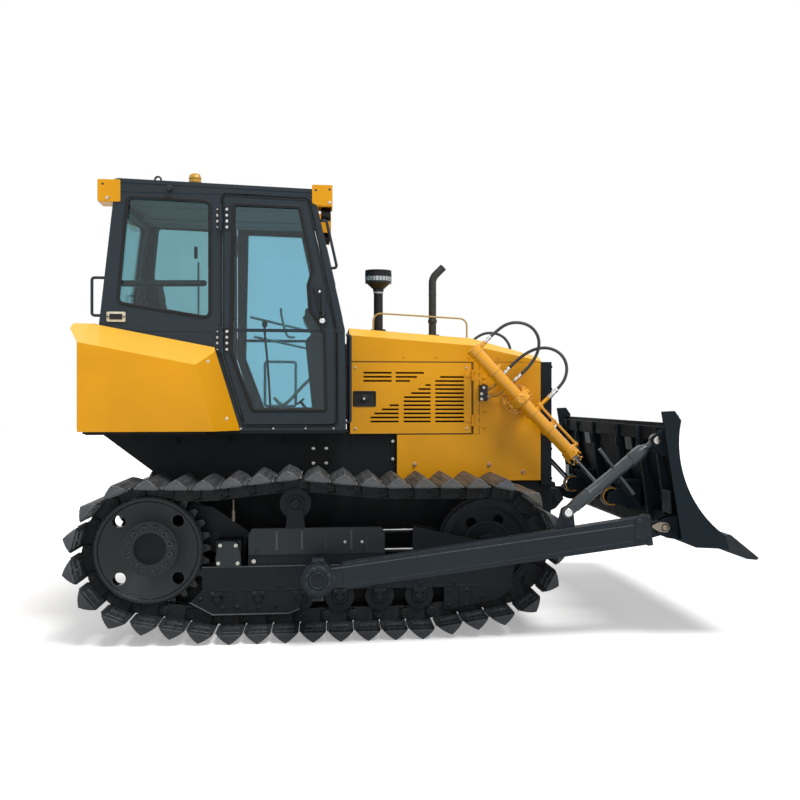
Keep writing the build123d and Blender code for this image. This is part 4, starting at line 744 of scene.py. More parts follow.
def smooth_line(points):
    """Places along the smooth curve that the given points steer."""
    curve = bpy.data.curves.new("guide", "CURVE")
    curve.dimensions = "3D"
    spline = curve.splines.new("NURBS")
    spline.points.add(len(points) - 1)
    for point, place in zip(spline.points, points):
        point.co = (*place, 1)
    spline.order_u = 3
    spline.use_endpoint_u = True
    spline.resolution_u = 10
    guide = bpy.data.objects.new("guide", curve)
    mesh = bpy.data.meshes.new_from_object(guide)
    places = [tuple(vertex.co) for vertex in mesh.vertices]
    bpy.data.objects.remove(guide)
    bpy.data.curves.remove(curve)
    bpy.data.meshes.remove(mesh)
    return places


def eased(outline, radius, steps=6):
    """A closed flat outline with its corners rounded."""
    result = []
    for i, corner in enumerate(outline):
        corner = Vector(corner)
        before = Vector(outline[i - 1]) - corner
        after = Vector(outline[(i + 1) % len(outline)]) - corner
        reach = radius / math.tan(before.angle(after) / 2)
        reach = min(reach, 0.45 * before.length, 0.45 * after.length)
        first, last = corner + before.normalized() * reach, corner + after.normalized() * reach
        for k in range(steps + 1):
            t = k / steps
            result.append(tuple(first * (1 - t) ** 2 + corner * 2 * t * (1 - t) + last * t**2))
    return result


def inset(outline, distance):
    """A closed flat outline moved inward, or outward where the distance is negative."""
    centre = sum((Vector(place) for place in outline), Vector((0, 0))) / len(outline)
    result = []
    for i, place in enumerate(outline):
        before, here = Vector(outline[i - 1]), Vector(place)
        after = Vector(outline[(i + 1) % len(outline)])
        one = (here - before).orthogonal().normalized()
        two = (after - here).orthogonal().normalized()
        if one.dot(centre - here) < 0:
            one.negate()
        if two.dot(one) < 0:
            two.negate()
        half = (one + two).normalized()
        result.append(tuple(here + half * distance / max(0.4, half.dot(one))))
    return result


def circle(centre, radius, count=24, start=0.0, end=360.0):
    """Places of (x, z) on a circle, the ends included where it is an arc."""
    span = math.radians(end - start)
    whole = abs(end - start) >= 360
    steps = count if whole else count - 1
    return [
        (centre[0] + radius * math.cos(math.radians(start) + span * k / steps),
         centre[1] + radius * math.sin(math.radians(start) + span * k / steps))
        for k in range(count)
    ]


def spaced(centre, radius, count, start=0.0):
    """Places spaced evenly round a whole circle, the first at the start angle."""
    return circle(centre, radius, count, start, start + 360)


def in_wall(outline, y):
    """A flat outline of (x, z) places set in the wall at y."""
    return [(x, y, z) for x, z in outline]


def place_bolts(maker, places, face_y, size, washer=True):
    """Bolt heads at (x, z) places on a face that looks out from the right side."""
    for place in in_wall(places, face_y):
        maker.bolt(place, OUT, size, washer=washer)


# ================================================================ chain
# The pin line, clockwise from the sprocket: x, z, radius, +1 round it or -1 sagging over it.
CHAIN_GUIDES = [
    (*SPROCKET, WHEEL_PIN_R, 1),
    (SLACK_X[0], SLACK_Z + SAG_R, SAG_R, -1),
    (CARRIER[0], CARRIER[1], CARRIER[2] + RAIL_DROP, 1),
    (SLACK_X[1], SLACK_Z + SAG_R, SAG_R, -1),
    (*IDLER, WHEEL_PIN_R, 1),
    (ROLLER_X[-1], ROLLER_Z, ROLLER_R + RAIL_DROP, 1),
    (ROLLER_X[0], ROLLER_Z, ROLLER_R + RAIL_DROP, 1),
]


def chain_places():
    """Place and heading of each shoe, evenly spaced round the loop."""
    leave = []
    for i, (x1, z1, r1, side1) in enumerate(CHAIN_GUIDES):
        x2, z2, r2, side2 = CHAIN_GUIDES[(i + 1) % len(CHAIN_GUIDES)]
        span = math.hypot(x2 - x1, z2 - z1)
        leave.append(math.atan2(z2 - z1, x2 - x1) - math.asin((side1 * r1 - side2 * r2) / span))

    def beside(guide, heading):
        x, z, r, side = guide
        return Vector((x - side * r * math.sin(heading), z + side * r * math.cos(heading)))

    spans = []
    for i, guide in enumerate(CHAIN_GUIDES):
        into, out = leave[i - 1], leave[i]
        turn = (out - into + math.pi) % (2 * math.pi) - math.pi
        if guide[3] > 0 and turn > 0:
            turn -= 2 * math.pi
        spans.append((guide[2] * abs(turn), guide, into, turn))
        first = beside(guide, out)
        last = beside(CHAIN_GUIDES[(i + 1) % len(CHAIN_GUIDES)], out)
        spans.append(((last - first).length, (first, last), out, 0))
    total = sum(span[0] for span in spans)
    count = round(total / PITCH)
    places = []
    for k in range(count):
        along = (k + 0.5) * total / count
        for length, path, heading, turn in spans:
            if along <= length:
                break
            along -= length
        share = along / length
        if turn:
            places.append((beside(path, heading + turn * share), heading + turn * share))
        else:
            places.append((path[0].lerp(path[1], share), heading))
    return places, total / count


def round_the_chain(template, name, body, finishes, node, slot):
    """Copies of one pitch's mesh all round a track, on both sides of the machine."""
    places, _ = chain_places()
    for side, where in SIDES:
        joined = bmesh.new()
        for (x, z), heading in places:
            joined.from_mesh(template)
            fresh = joined.verts[-len(template.vertices):]
            turn = Matrix((
                (math.cos(heading), 0, -math.sin(heading), 0), (0, 1, 0, 0),
                (math.sin(heading), 0, math.cos(heading), 0), (0, 0, 0, 1)))
            bmesh.ops.transform(
                joined, matrix=Matrix.Translation(at(x, side * TRACK_Y, z)) @ turn, verts=fresh)
        maker = Maker()
        maker.mesh = joined
        replaces = (f"{node}_{where}",) if node else ()
        maker.done(f"{name}_{where}", body, finishes, replaces=replaces, slot=slot)
    bpy.data.meshes.remove(template)


def pitch_mesh(maker, bevel):
    """One pitch's mesh with its edges eased, its own middle at the origin."""
    mesh = maker.to_mesh("pitch")
    mesh.transform(Matrix.Translation((MIDDLE_X * MM, 0, 0)))
    draft = bpy.data.objects.new("draft", mesh)
    bpy.context.scene.collection.objects.link(draft)
    ease = draft.modifiers.new("eased edges", "BEVEL")
    ease.width, ease.segments = bevel * MM, 1
    ease.limit_method, ease.angle_limit = "ANGLE", math.radians(35)
    shaped = shaped_mesh(draft)
    bpy.data.objects.remove(draft)
    bpy.data.meshes.remove(mesh)
    return shaped


# ================================================================ operators
class DOZER_OT_studio(bpy.types.Operator):
    """Camera, lamps, pale floor and surroundings"""

    bl_idname = "dozer.studio"
    bl_label = "Studio"

    def execute(self, context):
        scene, studio = context.scene, context.scene.dozer_studio
        scene.view_settings.view_transform = "Standard"
        data = bpy.data.cameras.new("camera")
        data.lens, data.sensor_width, data.shift_x = studio.lens, 36, studio.shift
        data.dof.use_dof = False
        data.clip_end = 200
        camera = bpy.data.objects.new("camera", data)
        camera.location = studio.place
        camera.rotation_mode = "QUATERNION"
        camera.rotation_quaternion = Vector(studio.toward).to_track_quat("-Z", "Y")
        scene.collection.objects.link(camera)
        scene.camera = camera

        for name, strength, angle, direction in (
            ("key", studio.sun, 24, (-0.27, 0.40, -0.88)),
            ("fill", studio.sun * FILL_SHARE, 50, (0.30, -0.62, -0.72)),
        ):
            lamp = bpy.data.lights.new(name, "SUN")
            lamp.energy, lamp.angle = strength, math.radians(angle)
            sun = bpy.data.objects.new(name, lamp)
            sun.rotation_mode = "QUATERNION"
            sun.rotation_quaternion = Vector(direction).to_track_quat("-Z", "Y")
            scene.collection.objects.link(sun)

        nodes = Nodes("floor_paint")
        shade = nodes.mix(nodes.noise(0.8, 3), (0.78, 0.78, 0.77, 1), (0.82, 0.82, 0.81, 1))
        seen = nodes.add("LightPath").outputs["Is Camera Ray"]
        flat = nodes.shader(Base_Color=shade, Roughness=0.9, Specular_IOR_Level=0.0)
        lit = nodes.add("Emission", {
            "Color": (1, 1, 1, 1), "Strength": nodes.math("MULTIPLY", seen, 0.34)})
        both = nodes.add("AddShader", {0: flat, 1: lit.outputs[0]})
        floor_paint = nodes.finish(both.outputs[0])
        ring = bmesh.new()
        bmesh.ops.create_circle(ring, cap_ends=True, segments=96, radius=60)
        mesh = bpy.data.meshes.new("floor")
        ring.to_mesh(mesh)
        ring.free()
        mesh.materials.append(floor_paint)
        floor = bpy.data.objects.new("floor", mesh)
        scene.collection.objects.link(floor)

        # White where it is seen, mirrored or looked through; softer as a light.
        sky = Nodes("surroundings", world=True)
        ray = sky.add("LightPath").outputs
        direct = sky.math("MAXIMUM", ray["Is Camera Ray"], ray["Is Transmission Ray"])
        direct = sky.math("MAXIMUM", direct, ray["Is Glossy Ray"])
        soft = sky.add("Background", {"Color": (0.97, 0.985, 1.0, 1), "Strength": studio.sky})
        bright = sky.add("Background", {"Color": (1, 1, 1, 1), "Strength": 1.0})
        mixed = sky.add("MixShader", {0: direct, 1: soft.outputs[0], 2: bright.outputs[0]})
        scene.world = sky.finish(mixed.outputs[0])
        return {"FINISHED"}


class DOZER_OT_hoses(bpy.types.Operator):
    """The four lift hoses with their sleeves and nuts"""

    bl_idname = "dozer.hoses"
    bl_label = "Lift hoses"

    def execute(self, context):
        diameter = context.scene.dozer_sizes.hose
        radius = diameter / MM / 2
        for name, route in HOSE_ROUTES.items():
            line = smooth_line(route)
            first = Vector(line[0]), (Vector(line[1]) - Vector(line[0])).normalized()
            last = Vector(line[-1]), (Vector(line[-2]) - Vector(line[-1])).normalized()
            for side, where in SIDES:
                for (place, along), body, end in (
                    (first, f"lift_barrel_{where}", "cylinder"), (last, "machine", "pipe"),
                ):
                    fitting = Maker()
                    fitting.spin([(-14, 17), (-13, 19), (4, 19), (6, 17)], place, along, 6)
                    fitting.finish = 1
                    fitting.spin([
                        (5, 11), (5, 15.5), (12, 16.5), (24, 16.5), (26, 15), (30, 15), (32, 16.5),
                        (58, 16.5), (62, 14.5), (62, radius - 0.5),
                    ], place, along, 24)
                    fitting.on(side).done(
                        f"{name}_hose_{end}_fitting_{where}", body, ["zinc", "polished"],
                        bevel=0.8)
                maker = Maker().tube(line, radius, 20).on(side)
                hose = maker.done(
                    f"{name}_hose_{where}", None, ["hose_rubber"],
                    replaces=(f"hose_{name}_{where}",), slot="hose_rubber")
                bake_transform(hose)
        return {"FINISHED"}


class DOZER_OT_finishes(bpy.types.Operator):
    """Paint, steel, glass and rubber on the carried-over parts"""

    bl_idname = "dozer.finishes"
    bl_label = "Finishes"

    def execute(self, context):
        slots = {part["node"]: part["material_slot"] for part in frame["record"]["subparts"]}
        own = {
            "fixed_pipes": "pipe_and_block", "hood_rail": "rail_gold", "blade": "mould_paint",
            "cutting_edge": "edge_steel", "brace": "brace_paint", "tilt_cylinder": "brace_paint",
            "cab_glass": "fixed_glass", "lift_barrel_right": "cylinder_paint",
            "lift_barrel_left": "cylinder_paint", "lift_mounts": "cylinder_paint",
        }
        for name, node in frame["nodes"].items():
            node.data.materials.clear()
            node.data.materials.append(finish_of(own.get(name, slots[name])))
        return {"FINISHED"}


class DOZER_OT_shoes(bpy.types.Operator):
    """Swamp shoes all round both tracks"""

    bl_idname = "dozer.shoes"
    bl_label = "Track shoes"

    def execute(self, context):
        # Half of the shoe's section: a pointed arch with two shallow steps along its flank.
        flank = [
            (92, 50), (87, 60), (80, 68), (74, 69), (72, 76), (61, 84), (55, 85), (53, 91),
            (43, 97), (37, 98), (35, 103), (22, 109), (16, 110), (14, 114), (0, SHOE_TIP),
        ]
        section = [(-t, n) for t, n in flank] + flank[-2::-1] + [(70, PLATE), (-70, PLATE)]
        # Places along the shoe's half and the section's share of its full width there.
        stations = [(SHOE_HALF_WIDTH, 0.84), (440, 0.89), (400, 0.98), (120, 1.0)]
        stations = [(-y, share) for y, share in stations] + stations[::-1]
        maker = Maker()
        maker.loft([
            [(t * share, y, n + (3 if n < 52 and abs(y) == SHOE_HALF_WIDTH else 0))
             for t, n in section]
            for y, share in stations
        ])
        # Lips that hook over the neighbouring shoe, and two ribs on the inner face.
        for y0, y1 in ((-372, -110), (110, 372)):
            middle = (y0 + y1) / 2
            maker.slab([(86, 44), (97, 46), (99, 56), (92, 60), (86, 56)], y0, y1)
            maker.slab([(-60, 49), (-52, 36), (52, 36), (60, 49)], middle - 9, middle + 9)
            # Raised rim across the inner face at each end, and a bolt head inside it.
            outer = middle + math.copysign(138, middle)
            maker.slab([(-70, 49), (-63, 42), (63, 42), (70, 49)], outer - 8, outer + 8)
            maker.spin([(0, 13), (8, 13), (10, 10)],
                       (0, middle + math.copysign(80, middle), PLATE), (0, 0, -1), 6)
        template = pitch_mesh(maker, 2.0)
        round_the_chain(template, "shoes", "machine", ["track_steel"], "track", "track_steel")
        return {"FINISHED"}


class DOZER_OT_links(bpy.types.Operator):
    """Chain links, pins and bushes under the shoes"""

    bl_idname = "dozer.links"
    bl_label = "Track links"

    def execute(self, context):
        _, pitch = chain_places()
        half = pitch / 2
        rear_boss = circle((-half, 0), 39, 9, 100, 260)
        front_boss = circle((half, 0), 39, 9, -80, 80)
        maker = Maker()
        top, rail = PLATE, -RAIL_DROP
        maker.slab(
            [(-62, top)] + rear_boss + [(-70, -46), (-60, rail), (-34, rail), (-30, top)], 46, 66)
        maker.slab(
            [(62, top), (30, top), (34, rail), (60, rail), (70, -46)] + front_boss, 68, 90)
        maker.slab([(-44, top), (-44, rail), (44, rail), (44, top)], 47, 89)
        maker.slab([(-half + 3, -45), (-half + 3, rail), (half - 3, rail), (half - 3, -45)], 53, 83)
        maker.washer((half, 90, 0), (0, 1, 0), 30, 21, 5)
        maker.spin([(0, 20), (94, 20), (96, 17), (94, 9)], (half, 0, 0), (0, 1, 0), 14)
        maker.spin([(0, 31), (45, 31)], (half, 0, 0), (0, 1, 0), 14)
        maker.mirror()
        template = pitch_mesh(maker, 2.0)
        round_the_chain(template, "links", "machine", ["link_steel"], None, "track_steel")
        return {"FINISHED"}


class DOZER_OT_wheels(bpy.types.Operator):
    """Sprocket wheels, and rings, caps and bolts on the wheels and rollers"""

    bl_idname = "dozer.wheels"
    bl_label = "Wheels"

    def sprockets(self):
        """Toothed rings, each with a dished disc outside it and four holes through both."""
        x, z = SPROCKET
        outline = []
        for k in range(TEETH):
            for share, radius in TOOTH:
                turn = 2 * math.pi * (k + share) / TEETH
                outline.append((x + radius * math.cos(turn), z + radius * math.sin(turn)))
        maker = Maker()
        maker.slab(outline, -TRACK_Y - 28, -TRACK_Y + 28)
        maker.spin([
            (3, 60), (3, 366), (80, 385), (98, 385), (100, 383), (100, 356), (97, 351), (84, 344),
            (30, 214), (22, 201), (18, 193), (18, 60),
        ], (x, -TRACK_Y - 15, z), OUT, 96)
        drill = Maker()
        for place in in_wall(spaced(SPROCKET, 290, 4, 45), -TRACK_Y):
            drill.spin([(-60, 44), (160, 44)], place, OUT, 40)
        bits = maker.done("sprocket_draft", None, []), drill.done("drill", None, [])
        cut = bits[0].modifiers.new("holes", "BOOLEAN")
        cut.object, cut.solver = bits[1], "EXACT"
        cut.use_self = True
        shaped = shaped_mesh(bits[0])
        for bit in bits:
            bpy.data.objects.remove(bit)
        wheels = Maker()
        wheels.mesh.from_mesh(shaped)
        wheels.mirror()
        bpy.data.meshes.remove(shaped)
        wheels.done("sprocket_wheels", "machine", ["sprocket_paint"], replaces=("sprockets",),
                    slot="running_gear_paint")

    def execute(self, context):
        self.sprockets()
        rings, maker = Maker(), Maker()
        x, z = SPROCKET
        count = context.scene.dozer_sizes.hub_bolts
        # Socket rings round the hub bolts, in lighter paint as painted highlight on their rims.
        for place in in_wall(spaced(SPROCKET, 151, count, 180 / count), -1058):
            rings.washer(place, OUT, 21, 15, 12)
        maker.washer((x, -1140, z), OUT, 384, 372, 4)
        maker.spin([(-2, 112), (5, 112), (9, 104), (10, 20)], (x, -1058, z), OUT, 48)
        x, z = IDLER
        maker.washer((x, -1096, z), OUT, 318, 292, 9)
        maker.washer((x, -1096, z), OUT, 190, 172, 8)
        x, z, _ = CARRIER
        maker.washer((x, -1146, z), OUT, 62, 48, 10)
        maker.spin([(-2, 40), (16, 40), (24, 32), (25, 12)], (x, -1146, z), OUT, 32)
        place_bolts(maker, spaced((x, z), 56, 6), -1146, 6, washer=False)
        for x in ROLLER_X:
            maker.spin([(-4, 58), (6, 58), (12, 52), (13, 36)], (x, -1135, ROLLER_Z), OUT, 32)
            maker.spin([(-2, 30), (9, 30), (13, 25), (13, 10)], (x, -1158, ROLLER_Z), OUT, 24)
            maker.block((x - 46, x + 46), (-1176, -1150), (ROLLER_Z + 26, ROLLER_Z + 58))
            place_bolts(maker, [(x - 33, ROLLER_Z + 42), (x + 33, ROLLER_Z + 42)], -1176, 9)
        rings.mirror().done("hub_rings", "machine", ["rubbed_highlight_paint"], slot="running_gear_paint")
        maker.mirror().done(
            "wheel_details", "machine", ["running_gear_paint"], bevel=1.0,
            slot="running_gear_paint")
        return {"FINISHED"}


class DOZER_OT_track_frames(bpy.types.Operator):
    """Saddle plates, cover ribs, guard seams and bolts along the track frames"""

    bl_idname = "dozer.track_frames"
    bl_label = "Track frames"

    def execute(self, context):
        face = -FRAME_FACE
        maker = Maker()
        maker.block((-848, 1170), (face - 4, face + 5), (316, 330))
        # Recoil cover's lower flange and the plate at its front.
        maker.block((-520, 456), (-1127, -1110), (556, 574))
        maker.block((690, 716), (-1126, -930), (585, 752))
        # Inner plate behind the rollers and the stay plate beside the sprocket.
        maker.slab([
            (-1090, 222), (-1000, 160), (-760, 112), (700, 112), (1180, 170), (1180, 345),
            (-760, 345), (-900, 430), (-1090, 430),
        ], -915, -905)
        maker.slab([
            (-975, 900), (-940, 930), (-790, 905), (-534, 721), (-552, 600), (-760, 560),
            (-862, 607),
        ], -915, -897)
        # Guards below the frame: seams and bolts.
        for x in (-621, -536, 1006, 1099):
            maker.weld((x, face - 1, 160), (x, face - 1, 318), 5)
        place_bolts(maker, [
            (-860, 268), (-700, 200), (-600, 205), (-450, 200), (-330, 210), (-700, 285),
            (-450, 285), (930, 180), (930, 290), (1060, 180), (1180, 240), (1060, 290),
        ], face - 1, 11)
        for x in (-300, 40, 380, 720, 980):
            place_bolts(maker, [(x, 348), (x, 462)], face, 10)
        maker.mirror().done("track_frame_details", "machine", ["running_gear_paint"], bevel=1.2,
                            slot="running_gear_paint")

        # Strips in lighter rubbed paint whose bright edges are painted highlight: beam's upper
        # edge, guard's lower edge, cover's ribs.
        worn = Maker()
        worn.tube([(-848, -1154, 494), (1168, -1154, 494)], 5, 8)
        guard = [(-935, 244), (-771, 152), (-233, 150), (-158, 182)]
        worn.tube(in_wall(guard, face - 1), 6.5, 8)
        for x in (-322, -141, 215):
            worn.slab([(x - 9, 606), (x + 9, 606), (x + 7, 744), (x - 7, 744)], -1129, -1115)
        worn.mirror().done(
            "rubbed_highlight_strips", "machine", ["rubbed_highlight_paint"], bevel=1.0, slot="running_gear_paint")

        cover = Maker()
        lid = [(-523, 560), (459, 560), (459, 724), (430, 762), (-494, 762), (-523, 724)]
        cover.slab(eased(lid, 14, 4), -1124, -1117)
        panel = [(-459, 590), (-330, 590), (-330, 664), (-459, 664)]
        cover.seal(in_wall(eased(panel, 8, 3), -1124), OUT, 6, 3)
        for x in (-480, 30, 330, 440):
            cover.slab([(x - 6, 574), (x + 6, 574), (x + 5, 735), (x - 5, 735)], -1129, -1118)
        saddle = [
            (-748, 497), (-752, 560), (-735, 655), (-700, 679), (-625, 679), (-592, 655),
            (-575, 560), (-577, 497),
        ]
        cover.slab(eased(saddle, 16, 4), -1163, -1150)
        cover.mirror().done(
            "cover_plates", "machine", ["cover_paint"], bevel=1.2, slot="running_gear_paint")

        bolts = Maker()
        place_bolts(bolts, [(-720, 650), (-610, 648), (-733, 522), (-597, 519)], -1163, 9)
        place_bolts(bolts, [(-484, 530)], -1153, 10)
        place_bolts(bolts, [(169, 656), (293, 654)], -1124, 7)
        bolts.mirror().done("track_frame_bolts", "machine", ["zinc"], slot="bright_steel")

        rods = Maker()
        for z in (597, 739):
            rods.tube([(440, -1108, z), (695, -1108, z)], 8, 20)
        rods.finish = 1
        rods.tube([(-645, -905, 690), (-645, -905, 800)], 6, 12)
        rods.tube([(-645, -905, 796), (-645, -905, 875)], 13, 16)
        rods.tube([(-645, -905, 870), (-645, -905, 955)], 6, 12)
        rods.mirror().done(
            "recoil_rods", "machine", ["polished", "keeper_plate"], slot="bright_steel")
        return {"FINISHED"}


class DOZER_OT_arms(bpy.types.Operator):
    """Trunnion caps, collars, keeper plates and welds on the push arms"""

    bl_idname = "dozer.arms"
    bl_label = "Push arms"

    def execute(self, context):
        maker = Maker()
        x, z = PIVOT
        face = -ARM_FACE
        maker.spin([(-2, 100), (10, 100), (17, 93), (18, 66), (12, 60), (12, 20)],
                   (x, face, z), OUT, 48)
        maker.washer((x, face - 12, z), OUT, 60, 46, 12)
        place_bolts(maker, spaced(PIVOT, 80, 8, 22.5), face - 17, 10)
        # Split cap's ears behind the eye.
        for middle in (z - 128, z + 128):
            maker.block((x - 40, x + 40), (face + 10, face + 110), (middle - 14, middle + 14))
            place_bolts(maker, [(x - 22, middle), (x + 22, middle)], face + 10, 9)
        # Welded edges of the arm; the upper one is in the brace's lighter, glossier paint as a
        # painted highlight.
        edges = Maker()
        start, end = Vector((x + 100, 0, z + 12)), Vector((2190, 0, 752))
        along = (end - start).normalized()
        up = Vector((-along.z, 0, along.x))
        for shift in (-63, 63):
            a, b = start + up * shift, end + up * shift * 0.9
            part = edges if shift > 0 else maker
            part.weld((a.x, face + 3, a.z), (b.x, face + 3, b.z), 5, 20)
        maker.weld((1383, face, 684), (1383, face, 622), 4)
        # Collar where the arm meets the blade's lugs.
        collar = [(2184, 690), (2200, 868), (2300, 886), (2316, 712)]
        maker.slab(eased(collar, 18, 4), -1706, -1696)
        place_bolts(maker, [(2212, 720), (2222, 842), (2290, 738), (2284, 858)], -1706, 9)
        maker.mirror().done(
            "arm_details", "blade_frame", ["blade_paint"], bevel=1.0, slot="blade_paint")
        edges.mirror().done("arm_top_highlight", "blade_frame", ["brace_paint"], slot="blade_paint")

        # The brace's plain tubes with a turned collar between them, and the sleeve over the screw.
        foot = Vector((BRACE_LOW[0], -ARM_Y, BRACE_LOW[1]))
        along = Vector((BRACE_HIGH[0], -ARM_Y, BRACE_HIGH[1])) - foot
        tubes = Maker()
        tubes.spin([
            (58, 30), (62, 44), (68, 46), (196, 46), (198, 49), (208, 49), (210, 46), (214, 44),
            (584, 44), (586, 49), (589, 51), (690, 51), (696, 48), (720, 34), (734, 30),
        ], foot, along, 48)
        tubes.done("brace_tubes", "blade_frame", ["brace_paint"], slot="blade_paint")

        pins = Maker()
        low, high = in_wall((BRACE_LOW, BRACE_HIGH), -BRACE_FACE)
        pins.spin([(-2, 27), (8, 27), (11, 23), (11, 6)], low, OUT, 28)
        pins.finish = 1
        pins.spin([(-2, 26), (6, 26), (9, 22), (9, 6)], high, OUT, 28)
        pins.mirror().done("brace_pins", "blade_frame", ["polished", "zinc"], slot="bright_steel")

        plates = Maker()
        x, z = BLADE_PIN
        drop = [
            (x - 118, z + 14), (x - 40, z + 44), (x + 14, z + 36), (x + 30, z + 4), (x + 8, z - 30),
            (x - 48, z - 26),
        ]
        plates.slab(eased(drop, 24, 5), -1716, -1706)
        plates.spin([(-2, 20), (7, 20), (9, 17), (9, 6)], (x - 8, -1716, z + 4), OUT, 32)
        plates.washer((x - 8, -1716, z + 4), OUT, 34, 27, 3)
        plates.mirror().done(
            "pin_keepers", "blade_frame", ["keeper_plate"], bevel=1.0, slot="bright_steel")
        return {"FINISHED"}


class DOZER_OT_blade(bpy.types.Operator):
    """Welds, brackets, edge bolts and stiffeners of the blade"""

    bl_idname = "dozer.blade"
    bl_label = "Blade"

    def execute(self, context):
        # Two rows of bolts hold the cutting edge; their heads lie on its sloping face.
        bolts = Maker()
        slope = Vector((0.628, 0, 0.778))
        for k in range(17):
            y = -1700 + 3400 * k / 16
            for x, z in ((2893, 714.5), (2942, 675)):
                bolts.spin([(-2, 15), (3, 15), (6, 12), (6.5, 4)], (x, y, z), slope, 14)
        bolts.done("edge_bolts", "blade_frame", ["bright_steel"], slot="bright_steel")

        maker = Maker()
        for y in (-1500, -1050, -420, 420, 1050, 1500):
            for side in (-11, 11):
                maker.weld((2386, y + side, 1490), (2476, y + side, 805), 5, 24)
        for z in (1402, 1498):
            maker.weld((2476, -1770, z), (2476, 1770, z), 5, 30)
        half = Maker()
        # Plates under the ears, and gussets between the top beam and the ribs.
        for y in (-1640, -700):
            half.slab([(2424, 1300), (2410, 1398), (2424, 1398), (2440, 1300)], y - 95, y + 95)
        for y in (-1500, -1050, -420):
            half.slab([(2384, 1400), (2384, 1330), (2440, 1250), (2450, 1400)], y - 5, y + 5)
        half.slab([(2432, 890), (2432, 1050), (2444, 1050), (2452, 890)], -1725, -1556)
        # A plate on each side of the lift ear.
        for y in (-772, -638):
            half.slab([(2305, 1047), (2330, 1060), (2525, 838), (2515, 812)], y, y + 10)
        half.weld((2400, -1796, 1606), (2480, -1796, 1580), 4)
        maker.done("blade_welds", "blade_frame", ["blade_paint"], slot="blade_paint")
        half.mirror().done(
            "blade_plates", "blade_frame", ["blade_paint"], bevel=1.5, slot="blade_paint")
        return {"FINISHED"}


def lift_axis(side):
    """The lift cylinder's trunnion, its direction to the rod's eye, and the way up from it."""
    start = Vector((LIFT_TRUNNION[0], side * LIFT_Y, LIFT_TRUNNION[1]))
    end = Vector((ROD_EYE[0], side * LIFT_Y, ROD_EYE[1]))
    along = (end - start).normalized()
    return start, along, Vector((-along.z, 0, along.x))


class DOZER_OT_lift(bpy.types.Operator):
    """Gland rings, clamps, ports and flange bolts of the lift cylinders"""

    bl_idname = "dozer.lift"
    bl_label = "Lift cylinders"

    def execute(self, context):
        start, along, up = lift_axis(RIGHT)
        across = along.cross(up)
        barrel = Maker()
        for distance in (-300, 330):
            place = start + along * distance
            barrel.washer(place - along * 13, along, 57, 49, 26)
            ear = place + up * 58
            barrel.spin([(-15, 13), (15, 13), (18, 10)], ear, across, 20)
            barrel.bolt(tuple(ear + across * 15), across, 9)
        gland = start + along * 612
        barrel.washer(gland - along * 4, along, 66, 48, 8)
        for k in range(8):
            turn = math.radians(45 * k + 22)
            spoke = up * math.cos(turn) + across * math.sin(turn)
            barrel.bolt(tuple(gland + along * 58 + spoke * 46), along, 8, washer=False)
            barrel.spin([(-34, 7), (34, 7)], gland + spoke * 60, along, 6)
        barrel.washer(start - along * 540, -along, 54, 36, 7)
        barrel.weld(tuple(start - along * 488 - up * 51), tuple(start - along * 488 + up * 51), 4)
        trunnion = start + Vector((0, -78, 0))
        barrel.washer(start - along * 38, along, 80, 70, 76)
        barrel.spin([(-30, 40), (0, 40), (5, 34), (5, 14)], trunnion, OUT, 32)
        for k in range(4):
            turn = math.radians(45 + 90 * k)
            spoke = up * math.cos(turn) + along * math.sin(turn)
            barrel.bolt(tuple(trunnion + spoke * 24 + Vector((0, -3, 0))), OUT, 6, washer=False)
        # Bearing caps above and below the barrel, each with its bolts.
        for turned in (1, -1):
            cap = start + Vector((0, 18, 0))
            barrel.spin([(60, 30), (96, 30), (100, 26), (100, 10)], cap, up * turned, 24)
            for sway in (-38, 38):
                barrel.spin([(64, 13), (92, 13), (96, 9)], cap + along * sway, up * turned, 16)
        nuts = Maker()
        for name in ("head", "rod"):
            port, following = Vector(HOSE_ROUTES[name][0]), Vector(HOSE_ROUTES[name][1])
            way = (following - port).normalized()
            nuts.spin([(-34, 20), (-16, 20), (-13, 17)], port, way, 6)
        for side, where in SIDES:
            for part, name, finish, slot in (
                (barrel, "barrel_details", "cylinder_paint", "yellow_paint"),
                (nuts, "port_nuts", "zinc", "bright_steel"),
            ):
                part.copy().on(side).done(
                    f"{name}_{where}", f"lift_barrel_{where}", [finish], bevel=0.8, slot=slot)

        flange = Maker()
        x, z = LIFT_TRUNNION
        place_bolts(flange, spaced(LIFT_TRUNNION, 98, 8, 22.5), -LIFT_FLANGE, 13)
        flange.washer((x, -LIFT_FLANGE, z), OUT, 84, 71, 10)
        flange.mirror().done(
            "lift_flange_bolts", "machine", ["cylinder_paint"], bevel=1.0, slot="yellow_paint")

        joints = Maker()
        for z in (1718, 1778):
            joints.spin([(-8, 15), (14, 15), (18, 12)],
                        (PIPE_START, -LIFT_FLANGE, z), (1, 0, 0), 6)
        joints.spin([(-2, 13), (10, 13), (13, 10)], (1271, -580, 1790), OUT, 6)
        place_bolts(joints, [(1255, 1700), (1255, 1742)], -580, 8)
        joints.mirror().done("pipe_nuts", "machine", ["zinc"], bevel=0.6, slot="bright_steel")
        return {"FINISHED"}


